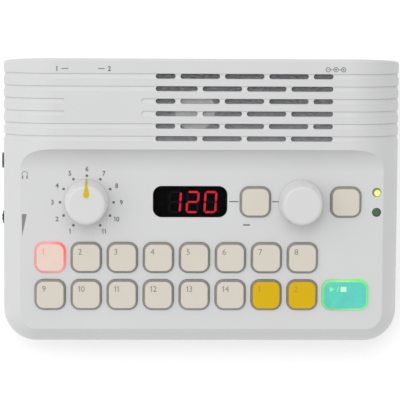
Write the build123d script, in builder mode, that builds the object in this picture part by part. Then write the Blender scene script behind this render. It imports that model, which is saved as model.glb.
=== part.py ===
"""Compact drum machine: a loaf-shaped case with a ribbed speaker block and a sloping key panel.

Millimetres. X runs to the right, Y to the rear, Z up. The origin lies on the standing surface, below
the middle of the case. Most sizes are stated in the slope frame TOP, which lies on the case's top
plane: x along X, v up the slope towards the rear, h square to the slope, zero on the top plane.
"""

from build123d import *
import math
import os

# ---- Case form ------------------------------------------------------------------------------------
WIDTH = 206.0  # side to side
DEPTH = 146.0  # front to rear
REAR_HEIGHT = 63.0  # standing surface to the rear top edge
SLOPE = 7.4  # degrees that the top and the panel fall towards the front
SHOULDER_R = 26.5  # big round from the top down into the sides and the front
FRONT_CORNER_R = 17.3  # front corners, seen from above
REAR_EDGE_R = 1.2  # round of the rear wall's edges
PANEL_DROP = 6.6  # the panel lies this far below the top plane
SCOOP_R = 14.0  # hollow round between the panel and the rear block
SCOOP_EDGE_AHEAD = 37.75  # that hollow meets the top plane this far ahead of the first rib row
WALL = 2.5
FOOT_HEIGHT = 3.0
BASE_CHAMFER = 1.0
PARTING_Z = 14.0  # joint between the two shells
LIP_HEIGHT = 1.5
LIP_INSET = 1.4  # outer face of the lower shell's lip, from the case's outside
LIP_GAP = 0.15

# ---- Ribs and sound slots -------------------------------------------------------------------------
ROWS = 6
ROW_PITCH = 6.43
FIRST_ROW_BACK = 8.55  # from half the depth, along the slope
GROOVE_WIDTH = 2.9
GROOVE_DEEP = 0.7  # at its rear edge
GROOVE_SHALLOW = 0.15  # at its front edge
GROOVE_LEAN = 4.5  # degrees that the grooves' planes lean from upright
PLAIN_ROWS = (2, 3)  # rows whose grooves leave a smooth field on the left
PLAIN_FIELD_X = (-71.3, -31.8)
SLOT_HEIGHT = 2.6
SLOT_GAP = 2.45
SLOT_PITCH = 22.81
SLOT_FIELD_SIDE = 81.8  # middle of the slot field, from the right side
SLOT_FIELD_WIDTH = 91.3

# ---- Keys -----------------------------------------------------------------------------------------
KEY_COLUMNS = 8
KEY_SIDE = 16.35  # left side to the first opening
KEY_FRONT = 15.1  # half the depth to the front row of openings, along the slope
KEY_WEB = 2.38  # panel left between two openings of a row
KEY_ROW_WEB = 3.15  # and between the two rows
PLAY_WEB = 1.94  # and beside the play key
KEY_OPENING_R = 4.8
KEY_GAP = 0.15
KEY_RING = 1.15  # sloping shoulder round the flat top, in plan
KEY_SKIRT = 0.5  # upright side above the panel
KEY_RISE = 2.0  # flat top above the panel
KEY_EDGE_R = 0.3
KEY_TRAVEL = 1.0
KEY_FLANGE = 0.8  # how far the stop flange reaches past the opening
KEY_FLANGE_THICK = 1.0
KEY_STOP_GAP = 0.1
KEY_STEM_R = 4.0
KEY_STEM_LENGTH = 2.4
PLAY_WIDTH = 24.5
PLAY_SIDE = 28.4  # middle of the play key, from the right side
MODE_SIDE = 28.5
TAP_SIDE = 75.4
DOME_GAP = 0.1
DOME_R = 5.0

# ---- Knobs ----------------------------------------------------------------------------------------
CONTROL_V = -1.1  # row of the knobs, the display and the upper keys
SELECTOR_SIDE = 43.1  # middle of the knob, from the left side
VALUE_SIDE = 51.9  # middle of the knob, from the right side
KNOB_BASE_R = 11.4
KNOB_TOP_R = 10.2
KNOB_HEIGHT = 15.0
KNOB_GAP = 0.5  # between the panel and the knob
KNOB_EDGE_R = 1.9
KNOB_SKIRT = 2.0  # wall of the hollow underside
KNOB_HUB_R = 5.0
KNOB_RECESS = 9.0
POINTER_START = 3.6  # from the knob's axis
POINTER_WIDTH = 3.0
POINTER_TIP_WIDTH = 0.7
POINTER_REACH = 0.35  # past the knob's foot
POINTER_PROUD = 0.2
POINTER_DEEP = 1.2
SHAFT_R = 3.0
SHAFT_FLAT = 2.2  # axis to the flat
SHAFT_RUNNING = 0.05
SHAFT_IN_KNOB = 11.0
SHAFT_END_GAP = 0.2
SHAFT_HOLE_R = 3.8
SWITCH_SIZE = 14.0
ENCODER_SIZE = 12.0
SWITCH_HEIGHT = 5.2
SWITCH_NECK_R = 4.6

# ---- Display and lamps ----------------------------------------------------------------------------
DISPLAY_BESIDE_TAP = 33.8  # middle to middle
WINDOW_WIDTH = 38.6
WINDOW_DEPTH = 16.4
WINDOW_R = 4.6
WINDOW_GAP = 0.1
WINDOW_RIM = 1.6
WINDOW_RIM_THICK = 1.0
MODULE_WIDTH = 37.0
MODULE_DEPTH = 16.0
LAMP_SIDE = 12.4
LAMP_BACK = (5.05, -5.35)  # from the row of the knobs
LAMP_R = 2.25
LAMP_GAP = 0.1
LAMP_RISE = 0.3
LAMP_COLLAR_R = 2.8
LAMP_COLLAR = 1.0

# ---- Panel board ----------------------------------------------------------------------------------
BOARD_DROP = 7.5  # panel's underside to the board
BOARD_THICK = 1.6
BOARD_SIDE = 8.0  # case side to the board and to the lamps' tab
BOARD_TAB = 5.0  # reach of the lamps' tab past the board's right edge
BOARD_FRONT = 9.2  # half the depth to the board, along the slope
BOARD_BACK = 15.1  # row of the knobs to the board's rear edge
BOARD_CORNER_R = 14.0
BOARD_TAB_BACK = (-9.9, 14.1)  # ends of the tab, from the row of the knobs
POST_R = 2.2
POST_BITE = 4.5  # thread of a board screw in its post
SMALL_SHANK_R = 0.9
SMALL_HEAD_R = 1.9
SMALL_HEAD = 1.2
POST_EDGE = 2.6  # middle of a post, from the board's front edge
POST_FRONT_X = (-60.0, 0.0, 60.0)
POST_SIDE = 12.0  # middle of a post, from the case side
POST_SIDE_BACK = (10.6, -18.9, 11.4)  # left pair and right one, from the row of the knobs
POST_BACK = 12.1  # inner posts, from the row of the knobs
POST_BESIDE_DISPLAY = 29.8
POST_BESIDE_TAP = 11.9
MAT_THICK = 1.0
CHIP_SIZE = (2.0, 1.25, 0.7)  # key light
CHIP_EDGE = 1.95  # edge of a key's opening to the middle of its light
CHIP_WINDOW = 1.0  # free space round a key light in the mat

# ---- Speaker --------------------------------------------------------------------------------------
SPEAKER_LEFT = 25.3  # from the middle of the slot field
SPEAKER_AHEAD = 17.75  # of the first rib row
SPEAKER_R = 18.6
CLOTH_THICK = 0.4
CLOTH_REACH_X = (-49.2, 49.3)  # from the middle of the slot field
CLOTH_REACH_V = (-35.15, 3.55)  # from the first rib row
CLOTH_GAP = 0.1
BASKET_FLANGE = 1.2
BASKET_SHEET = 1.0
BASKET_WELL_R = 16.4
BASKET_WELL_DEPTH = 4.5
BASKET_DEPTH = 10.4
MAGNET_R = 12.5
MAGNET_HEIGHT = 7.0
COIL_R = 7.2
COIL_GAP = 0.6
CONE_R = 14.2
CONE_SHEET = 0.5
CONE_DROP = 2.4  # flange top to the cone's rim
CONE_DEPTH = 4.1
DUST_CAP_R = 10.2
DUST_CAP_RISE = 1.9
CONE_TRAVEL = 1.0
SURROUND_GAP = 0.2
SURROUND_SHEET = 0.4
CLAMP_ROWS = (0, 4)  # clamp screws stand behind these rows and the next
CLAMP_POST_R = 1.85
CLAMP_REACH = 2.0  # flange edge to the screw's axis
CLAMP_HEAD_R = 2.7
CLAMP_BITE = 2.5
TERMINAL_SIZE = (1.2, 8.0, 5.0)
TERMINAL_INSET = 1.2  # tag's middle, in from the flange's edge
WINDOW_COUNT = 4  # openings in the basket's sloping wall
WINDOW_MID_R = 13.9
WINDOW_SIZE = (3.2, 9.0, 1.0)  # across, along, corner radius
CAP_MEET = 0.95  # share of the dust cap's turn at which its underside meets the cone

# ---- Shell joint screws ---------------------------------------------------------------------------
SCREW_FRONT = (10.0, 11.5)  # corner screws, from the case's side and front
SCREW_REAR = (9.0, 10.0)  # and from its side and rear
SCREW_MIDDLE_FRONT = (0.0, 7.7)  # x, and from the front
SCREW_JACKS_REAR = 8.0  # the one between the foot jacks, from the rear
BOSS_R = 3.4  # upper
BASE_BOSS_R = 4.2  # lower
BOSS_DROP = 45.0  # from the rear top edge down to where upper and lower bosses meet
SCREW_SHANK_R = 1.2
SCREW_BITE = 7.0
SCREW_GRIP = 3.0  # boss floor under the head
SCREW_HEAD_R = 2.6
SCREW_HEAD = 1.8
SCREW_WELL_R = 3.0
SCREW_GAP = 0.2
CROSS_WIDTH = 0.6
CROSS_DEPTH = 0.5  # share of the head's height

# ---- Feet, battery bay ----------------------------------------------------------------------------
FOOT_R = 6.0
FOOT_SEAT = 1.0  # sunk into the floor
FOOT_EDGE_R = 0.8
FOOT_SIDE = 19.0  # middle of a foot, from the case's side
FOOT_FRONT = 17.0
FOOT_REAR = 13.0
CELL_R = 7.25
CELL_LENGTH = 50.5
CELL_ROWS = 3
CELLS_IN_ROW = 2
CELL_GAP = 0.6
CONTACT_SPACE = 5.0  # at each end of a row
BAY_Y = -22.0  # middle of the bay
BAY_WALL = 1.6
DOOR_GAP = 0.2
DOOR_THICK = 2.3
TAB_WIDTH = 8.0
TAB_REACH = 3.0
TAB_THICK = 1.4
TAB_X = 34.0
DOOR_SWING = 4.0  # height of the tabs' windows in the bay wall
NOTCH_R = 8.0  # finger notch at the door's front edge
NOTCH_DEPTH = 1.2
CONTACT_SHEET = 0.4
CONTACT_BOW = (3.6, 0.8)  # sprung end, plain end
CONTACT_WIDTH = 10.0
CONTACT_HEIGHT = 8.0

# ---- Main board and what it carries ---------------------------------------------------------------
MAIN_TOP_Z = 16.5
MAIN_THICK = 1.6
MAIN_SIDE = 17.0  # case side to the board's rear part
MAIN_BACK = (31.0, 4.5)  # its front and rear edge, from the case's rear
ARM_SIDE = 4.5  # left side to the arm that carries the headphone jack and the wheel
ARM_BAY_GAP = 4.9  # arm to the battery bay's wall
ARM_FRONT_Y = -18.0
ARM_POST_FRONT = (12.9, 6.0)  # from the bay's wall and from the arm's front edge
ARM_POST_REAR = (8.9, 37.0)  # from the bay's wall and from the case's rear
POST_REAR = (22.0, 9.0)  # x, and from the case's rear
POST_LINE_BACK = 27.0  # row of three posts, from the case's rear
POST_LINE_LEFT = 40.2  # from the right foot jack
POST_LINE_X = 50.0
POST_LINE_SIDE = 23.0  # from the right side
CHIP_BACK = 16.0  # from the case's rear; level with the left post of that row
CHIP_WIDTH = 14.0
CHIP_HEIGHT = 1.4
CAPACITORS = (  # x, from the case's rear, radius, height
    (62.0, 21.0, 4.0, 9.0),
    (36.0, 23.0, 3.0, 7.0),
    (36.0, 15.0, 3.0, 7.0),
)
FOOT_JACK_SIDE = (27.9, 54.8)  # from the left side
FOOT_JACK_BORE_R = 3.25
FOOT_JACK_NOSE_R = 5.6
FOOT_JACK_SIZE = (15.0, 24.0, 14.0)
FOOT_JACK_BORE = 22.0
NOSE_GAP = 0.2
NOSE_SUNK = 0.4  # rear noses end this far inside the rear face
PHONES_Y = 21.4
PHONES_BORE_R = 1.8
PHONES_NOSE_R = 4.0
PHONES_PROUD = 1.1
PHONES_SIZE = (12.0, 9.0, 8.0)
PHONES_BORE = 12.0
INLET_SIDE = 31.0  # from the right side
INLET_SIZE = (9.0, 13.5, 11.0)
INLET_NOSE_R = 4.0
INLET_BORE_R = 3.1
INLET_PIN_R = 1.0
INLET_BORE = 9.5
INLET_PIN_SUNK = 1.5
POWER_SIDE = 57.0  # from the right side
POWER_SIZE = (14.0, 6.0, 8.0)
POWER_TRAVEL = 4.0
SLIDER_SIZE = (4.0, 3.0)  # level with the rear face, in a finger hollow
SLIDER_GAP = 0.25
SLIDER_ROOT = 1.5
HOLLOW_SIZE = (13.0, 6.5)
HOLLOW_DEPTH = 1.2
WHEEL_Y = -8.4
WHEEL_R = 7.25
WHEEL_PROUD = 1.1
WHEEL_THICK = 3.4
WHEEL_Z = 21.6  # middle of the wheel
WHEEL_SLOT_GAP = 0.5
WHEEL_NOTCHES = 24
WHEEL_NOTCH_R = 0.3
POT_WIDTH = 10.0
POT_SHAFT_R = 1.5
POT_SHAFT = 2.4
POT_GAP = 0.3
RIBBON_BESIDE_JACK = 22.2  # from the right foot jack
RIBBON_WIDTH = 14.0
RIBBON_SHEET = 0.8
RIBBON_BEND = 4.0
RIBBON_BEND_SHARE = 0.9  # most of a bend's share of the run beside it
RIBBON_BACK = 6.1  # its socket on the panel board, from the row of the knobs
SOCKET_BACK = 25.0  # sockets on the main board, from the case's rear
SOCKET_DEPTH = 4.0
SOCKET_HEIGHT = 3.5
WIRE_R = 0.6
WIRE_SPREAD = 2.6
WIRE_X = 23.0  # speaker socket on the main board
WIRE_BEND = 6.0
WIRE_DROP = 10.0  # straight run below the speaker's tag
WIRE_RISE = 12.0  # and above the main board's socket

# ---- Frames and worked-out places -----------------------------------------------------------------
SIN = math.sin(math.radians(SLOPE))
COS = math.cos(math.radians(SLOPE))
TOP_Z = REAR_HEIGHT - DEPTH / 2 * SIN / COS
TOP = Plane(origin=(0, 0, TOP_Z), x_dir=(1, 0, 0), z_dir=(0, -SIN, COS))
SIDE = Plane(origin=TOP.origin, x_dir=TOP.y_dir, z_dir=(1, 0, 0))  # local x is v, local y is h
ACROSS = Plane(origin=TOP.origin, x_dir=(1, 0, 0), z_dir=-TOP.y_dir)  # local x is X, local y is h
RIGHT = WIDTH / 2
REAR = DEPTH / 2
FRONT_V = (SHOULDER_R * (1 - SIN) - REAR) / COS - SHOULDER_R
FIRST_ROW_V = REAR - FIRST_ROW_BACK
SCOOP_EDGE_V = FIRST_ROW_V - SCOOP_EDGE_AHEAD
SCOOP_V = SCOOP_EDGE_V - math.sqrt(SCOOP_R**2 - (SCOOP_R - PANEL_DROP) ** 2)
PANEL_H = -PANEL_DROP
UNDER_H = PANEL_H - WALL  # underside of the panel
SLOT_FIELD_X = RIGHT - SLOT_FIELD_SIDE
SPEAKER_X = SLOT_FIELD_X - SPEAKER_LEFT
SPEAKER_V = FIRST_ROW_V - SPEAKER_AHEAD
CLOTH_X = [SLOT_FIELD_X + reach for reach in CLOTH_REACH_X]
CLOTH_V = [FIRST_ROW_V + reach for reach in CLOTH_REACH_V]
PLAY_X = RIGHT - PLAY_SIDE
MODE_X = RIGHT - MODE_SIDE
TAP_X = RIGHT - TAP_SIDE
VALUE_X = RIGHT - VALUE_SIDE
LAMP_X = RIGHT - LAMP_SIDE
DISPLAY_X = TAP_X - DISPLAY_BESIDE_TAP
SELECTOR_X = SELECTOR_SIDE - RIGHT
KEY_SPAN = PLAY_X - PLAY_WIDTH / 2 - PLAY_WEB - (KEY_SIDE - RIGHT)  # all openings of a row
KEY_OPENING = (KEY_SPAN - (KEY_COLUMNS - 1) * KEY_WEB) / KEY_COLUMNS
KEY_PITCH = KEY_OPENING + KEY_WEB
KEY_FIRST_X = KEY_SIDE - RIGHT + KEY_OPENING / 2
CHIP_OFFSET = KEY_OPENING / 2 - CHIP_EDGE
FRONT_KEYS_V = KEY_FRONT - REAR + KEY_OPENING / 2
KEY_ROW_V = (FRONT_KEYS_V + KEY_OPENING + KEY_ROW_WEB, FRONT_KEYS_V)
LAMP_V = [CONTROL_V + back for back in LAMP_BACK]
BOARD_LEFT = BOARD_SIDE - RIGHT
BOARD_TAB_RIGHT = RIGHT - BOARD_SIDE
BOARD_RIGHT = BOARD_TAB_RIGHT - BOARD_TAB
BOARD_FRONT_V = BOARD_FRONT - REAR
BOARD_REAR_V = CONTROL_V + BOARD_BACK
BOARD_TAB_V = [CONTROL_V + back for back in BOARD_TAB_BACK]
POST_ROW_V = BOARD_FRONT_V + POST_EDGE
POST_PLACES = [
    (POST_SIDE - RIGHT, CONTROL_V + POST_SIDE_BACK[0]),
    (POST_SIDE - RIGHT, CONTROL_V + POST_SIDE_BACK[1]),
    (RIGHT - POST_SIDE, CONTROL_V + POST_SIDE_BACK[2]),
    (DISPLAY_X - POST_BESIDE_DISPLAY, CONTROL_V + POST_BACK),
    (TAP_X + POST_BESIDE_TAP, CONTROL_V + POST_BACK),
] + [(x, POST_ROW_V) for x in POST_FRONT_X]
FOOT_JACK_X = [side - RIGHT for side in FOOT_JACK_SIDE]
SCREW_PLACES = [
    (SCREW_FRONT[0] - RIGHT, SCREW_FRONT[1] - REAR),
    (RIGHT - SCREW_FRONT[0], SCREW_FRONT[1] - REAR),
    (SCREW_MIDDLE_FRONT[0], SCREW_MIDDLE_FRONT[1] - REAR),
    (SCREW_REAR[0] - RIGHT, REAR - SCREW_REAR[1]),
    (RIGHT - SCREW_REAR[0], REAR - SCREW_REAR[1]),
    (sum(FOOT_JACK_X) / 2, REAR - SCREW_JACKS_REAR),
]
FOOT_PLACES = [
    (side * (RIGHT - FOOT_SIDE), y) for y in (FOOT_FRONT - REAR, REAR - FOOT_REAR) for side in (-1, 1)
]
BOSS_MEET_Z = REAR_HEIGHT - BOSS_DROP
BOARD_H = UNDER_H - BOARD_DROP  # face of the panel board
FLANGE_H = UNDER_H - KEY_STOP_GAP  # top of a key's stop flange
STEM_H = FLANGE_H - KEY_FLANGE_THICK - KEY_STEM_LENGTH  # foot of a key's stem
CLOTH_H = -WALL
BASKET_H = CLOTH_H - CLOTH_THICK - CLOTH_GAP  # face of the speaker's flange
FLOOR_Z = FOOT_HEIGHT + WALL
INLET_X = RIGHT - INLET_SIDE
POWER_X = RIGHT - POWER_SIDE
RIBBON_X = FOOT_JACK_X[1] + RIBBON_BESIDE_JACK
RIBBON_V = CONTROL_V + RIBBON_BACK
SOCKET_Y = REAR - SOCKET_BACK
FOOT_JACK_Z = MAIN_TOP_Z + FOOT_JACK_SIZE[2] / 2
PHONES_Z = MAIN_TOP_Z + PHONES_SIZE[2] / 2
INLET_Z = MAIN_TOP_Z + INLET_SIZE[2] / 2
POWER_Z = MAIN_TOP_Z + POWER_SIZE[2] / 2
REAR_SEAT_Y = REAR - WALL - NOSE_GAP  # rear sockets stand this far back
SLIDER_CHANNEL = (SLIDER_SIZE[0] + POWER_TRAVEL + 2 * SLIDER_GAP, SLIDER_SIZE[1] + 2 * SLIDER_GAP)
BAY_WIDTH = CELLS_IN_ROW * CELL_LENGTH + 2 * CONTACT_SPACE
BAY_DEPTH = CELL_ROWS * (2 * CELL_R + CELL_GAP) + CELL_GAP
BAY_TOP_Z = FOOT_HEIGHT + DOOR_THICK + 2 * CELL_R + 2 * CELL_GAP
CELL_Z = (FOOT_HEIGHT + DOOR_THICK + BAY_TOP_Z) / 2
BAY_REAR_Y = BAY_Y + BAY_DEPTH / 2
BAY_LEFT = -BAY_WIDTH / 2 - BAY_WALL  # outside of the bay's wall
MAIN_REAR = (MAIN_SIDE - RIGHT, RIGHT - MAIN_SIDE, REAR - MAIN_BACK[0], REAR - MAIN_BACK[1])
MAIN_ARM = (ARM_SIDE - RIGHT, BAY_LEFT - ARM_BAY_GAP, ARM_FRONT_Y, REAR - MAIN_BACK[0])
CHIP_PLACE = (FOOT_JACK_X[1] + POST_LINE_LEFT, REAR - CHIP_BACK)
MAIN_POSTS = [
    (BAY_LEFT - ARM_POST_FRONT[0], ARM_FRONT_Y + ARM_POST_FRONT[1]),
    (BAY_LEFT - ARM_POST_REAR[0], REAR - ARM_POST_REAR[1]),
    (FOOT_JACK_X[1] + POST_LINE_LEFT, REAR - POST_LINE_BACK),
    (POST_LINE_X, REAR - POST_LINE_BACK),
    (RIGHT - POST_LINE_SIDE, REAR - POST_LINE_BACK),
    (POST_REAR[0], REAR - POST_REAR[1]),
]
WHEEL_X = WHEEL_R - WHEEL_PROUD - RIGHT
FAR = 4 * WIDTH  # well outside the part
PAST = 1.0  # how far a cut runs past a face


def key_row(row):
    """Middles of one row of square keys, as (x, v) in the slope frame."""
    return [(KEY_FIRST_X + column * KEY_PITCH, KEY_ROW_V[row]) for column in range(KEY_COLUMNS)]


SQUARE_KEYS = {f"key_{number}": place for number, place in enumerate(key_row(0) + key_row(1)[:6], 1)}
SQUARE_KEYS["fill_key_1"], SQUARE_KEYS["fill_key_2"] = key_row(1)[6:]
SQUARE_KEYS["tap_key"] = (TAP_X, CONTROL_V)
SQUARE_KEYS["mode_key"] = (MODE_X, CONTROL_V)
PLAY_PLACE = (PLAY_X, KEY_ROW_V[1])


def save(builder, name):
    """Label a finished piece and write it as parts/name.step."""
    builder.part.label = name
    export_step(builder.part, f"parts/{name}.step")


def slope_to_world(x, v, h):
    """World point of a slope-frame place."""
    return TOP.from_local_coords((x, v, h))


def axial_plane(x, v):
    """Plane through the slope's normal at (x, v): local x is X from there, local y is h."""
    return Plane(origin=slope_to_world(x, v, 0), x_dir=(1, 0, 0), z_dir=ACROSS.z_dir)


def normal_axis(x, v):
    """The slope's normal at (x, v)."""
    return Axis(slope_to_world(x, v, 0), TOP.z_dir)


def slope_spot(x, v, h):
    """Location at a slope-frame place, with Z square to the slope."""
    return TOP.offset(h).location * Location((x, v, 0))


# ---- Case shells ----------------------------------------------------------------------------------
def loaf_section(inset):
    """Arch across the case, in the sketch plane ACROSS, with every side moved in by inset."""
    reach = REAR_HEIGHT + FAR / 8
    with Locations((0, -inset - reach / 2)):
        arch = Rectangle(WIDTH - 2 * inset, reach)
    fillet(arch.vertices().group_by(Axis.Y)[-1], SHOULDER_R - inset)


def case_form(inset):
    """The closed case with all of its faces moved inwards by inset."""
    half = WIDTH / 2 - inset
    front = FRONT_V + inset
    shoulder = SHOULDER_R - inset
    corner = FRONT_CORNER_R - inset
    panel = PANEL_H - inset
    hollow = SCOOP_R + inset
    hollow_mid = PANEL_H + SCOOP_R
    cut_top = PAST / 2 - inset
    hollow_turn = math.degrees(math.acos((hollow_mid - cut_top) / hollow))
    hollow_end = SCOOP_V + hollow * math.sin(math.radians(hollow_turn))
    band = (corner + PANEL_DROP) / 2  # front round is cut this far in, well past the panel's edge
    turn = math.degrees(math.acos((shoulder - band) / shoulder))
    band_h = -inset - shoulder + shoulder * math.sin(math.radians(turn))
    shaved = front_round(front, -inset, shoulder, turn, band, band_h)

    with BuildPart() as form:
        with BuildSketch(TOP.offset(-inset)) as plan:
            with Locations((0, front + DEPTH)):
                Rectangle(2 * half, 2 * DEPTH)
            fillet(plan.vertices().group_by(Axis.Y)[0], corner)
        extrude(amount=-2 * REAR_HEIGHT)
        with BuildSketch(ACROSS):
            loaf_section(inset)
        extrude(amount=FAR, both=True, mode=Mode.INTERSECT)
        for plane, side in ((SIDE.offset(corner - half), -1), (SIDE.offset(half - corner), 1)):
            with BuildSketch(plane):
                add(shaved)
            hinge_line = Axis(plane.from_local_coords((front + corner, 0, 0)), TOP.z_dir * side)
            revolve(axis=hinge_line, revolution_arc=90, mode=Mode.SUBTRACT)
        with BuildSketch(SIDE):
            add(shaved)
        extrude(amount=half - corner, both=True, mode=Mode.SUBTRACT)
        with BuildSketch(SIDE):
            with BuildLine():
                Polyline((hollow_end, FAR), (-FAR, FAR), (-FAR, panel), (SCOOP_V, panel))
                CenterArc((SCOOP_V, hollow_mid), hollow, -90, hollow_turn)
                Line((hollow_end, cut_top), (hollow_end, FAR))
            make_face()
        extrude(amount=FAR, both=True, mode=Mode.SUBTRACT)
        with Locations((0, DEPTH / 2 - inset, FOOT_HEIGHT + inset)):
            Box(FAR, FAR, FAR, align=(Align.CENTER, Align.MAX, Align.MIN), mode=Mode.INTERSECT)
    return form.part


def front_round(front, top, shoulder, turn, band, band_h):
    """Space outside the front round, in the coordinates of the sketch plane SIDE."""
    with BuildSketch() as space:
        with BuildLine():
            CenterArc((front + shoulder, top - shoulder), shoulder, 180, -turn)
            Polyline(
                (front + band, band_h),
                (front + band, top + PAST),
                (front - PAST, top + PAST),
                (front - PAST, top - shoulder),
                (front, top - shoulder),
            )
        make_face()
    return space.sketch


def groove_plane(v):
    """Plane across the case through the top plane at v: local x is X, local y is nearly h."""
    lean = math.radians(GROOVE_LEAN)
    normal = (0, -math.cos(lean), -math.sin(lean))
    return Plane(origin=slope_to_world(0, v, 0), x_dir=(1, 0, 0), z_dir=normal)


def groove_cutter(row):
    """One groove round the rear block: deep at its rear edge, running out towards the front."""
    rear_v = FIRST_ROW_V - row * ROW_PITCH + GROOVE_WIDTH / 2
    with BuildPart() as groove:
        with BuildSketch(groove_plane(rear_v)):
            Rectangle(FAR, FAR)
        extrude(amount=GROOVE_WIDTH * math.cos(math.radians(SLOPE - GROOVE_LEAN)))
        with BuildSketch(groove_plane(rear_v)):
            loaf_section(GROOVE_DEEP)
        with BuildSketch(groove_plane(rear_v - GROOVE_WIDTH)):
            loaf_section(GROOVE_SHALLOW)
        loft(mode=Mode.SUBTRACT)
        if row in PLAIN_ROWS:
            left, right = PLAIN_FIELD_X
            end_r = GROOVE_WIDTH / 2
            middle_v = rear_v - end_r
            with BuildSketch(TOP.offset(-SHOULDER_R / 2)):
                with Locations(((left + right + end_r) / 2, middle_v)):
                    Rectangle(right + end_r - left, 2 * GROOVE_WIDTH)
                with Locations((right + end_r, middle_v)):
                    Circle(end_r, mode=Mode.SUBTRACT)
            extrude(amount=SHOULDER_R, mode=Mode.SUBTRACT)
    return groove.part


def slots_in_row(row):
    """Middle and length of each sound slot in a row; alternate rows are staggered."""
    left = SLOT_FIELD_X - SLOT_FIELD_WIDTH / 2
    right = SLOT_FIELD_X + SLOT_FIELD_WIDTH / 2
    bars = (-1.5, -0.5, 0.5, 1.5) if row % 2 == 0 else (-1, 0, 1)
    breaks = [SLOT_FIELD_X + bar * SLOT_PITCH for bar in bars]
    starts = [left] + [x + SLOT_GAP / 2 for x in breaks]
    ends = [x - SLOT_GAP / 2 for x in breaks] + [right]
    return [((start + end) / 2, end - start) for start, end in zip(starts, ends)]


def window_outline(growth):
    """The display opening's outline, grown on every side."""
    with Locations((DISPLAY_X, CONTROL_V)):
        RectangleRounded(WINDOW_WIDTH + 2 * growth, WINDOW_DEPTH + 2 * growth, WINDOW_R + growth)


def above(z):
    """Keep what lies above a height."""
    with Locations((0, 0, z)):
        Box(FAR, FAR, FAR, align=(Align.CENTER, Align.CENTER, Align.MIN), mode=Mode.INTERSECT)


def below(z):
    """Keep what lies below a height."""
    with Locations((0, 0, z)):
        Box(FAR, FAR, FAR, align=(Align.CENTER, Align.CENTER, Align.MAX), mode=Mode.INTERSECT)


def clamp_places():
    """Middles of the speaker's clamp screws, as (x, v), each between two rows of slots."""
    places = []
    for row in CLAMP_ROWS:
        v = FIRST_ROW_V - (row + 0.5) * ROW_PITCH
        half_chord = math.sqrt((SPEAKER_R + CLAMP_REACH) ** 2 - (v - SPEAKER_V) ** 2)
        places += [(SPEAKER_X - half_chord, v), (SPEAKER_X + half_chord, v)]
    return places


os.makedirs("parts", exist_ok=True)

CAVITY = case_form(WALL)
MID_WALL = case_form(WALL / 2)

with BuildPart() as outside:
    add(case_form(0))
    rear_face = outside.faces().filter_by(Axis.Y).sort_by(Axis.Y)[-1]
    fillet(rear_face.edges().sort_by(Axis.Z)[1:], REAR_EDGE_R)
    chamfer(outside.faces().sort_by(Axis.Z)[0].edges(), BASE_CHAMFER)

with BuildPart() as rebate:
    add(case_form(LIP_INSET - LIP_GAP))
    below(PARTING_Z + LIP_HEIGHT + LIP_GAP)

with BuildPart() as upper_posts:
    with BuildSketch(Plane.XY.offset(BOSS_MEET_Z)):
        with Locations(*SCREW_PLACES):
            Circle(BOSS_R)
    extrude(amount=REAR_HEIGHT)
    with BuildSketch(TOP.offset(BOARD_H)):
        with Locations(*POST_PLACES):
            Circle(POST_R)
    extrude(amount=BOARD_DROP + WALL / 2)
    with BuildSketch(TOP.offset(BASKET_H - BASKET_FLANGE)):
        with Locations(*clamp_places()):
            Circle(CLAMP_POST_R)
    extrude(amount=WALL)
    add(MID_WALL, mode=Mode.INTERSECT)

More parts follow.
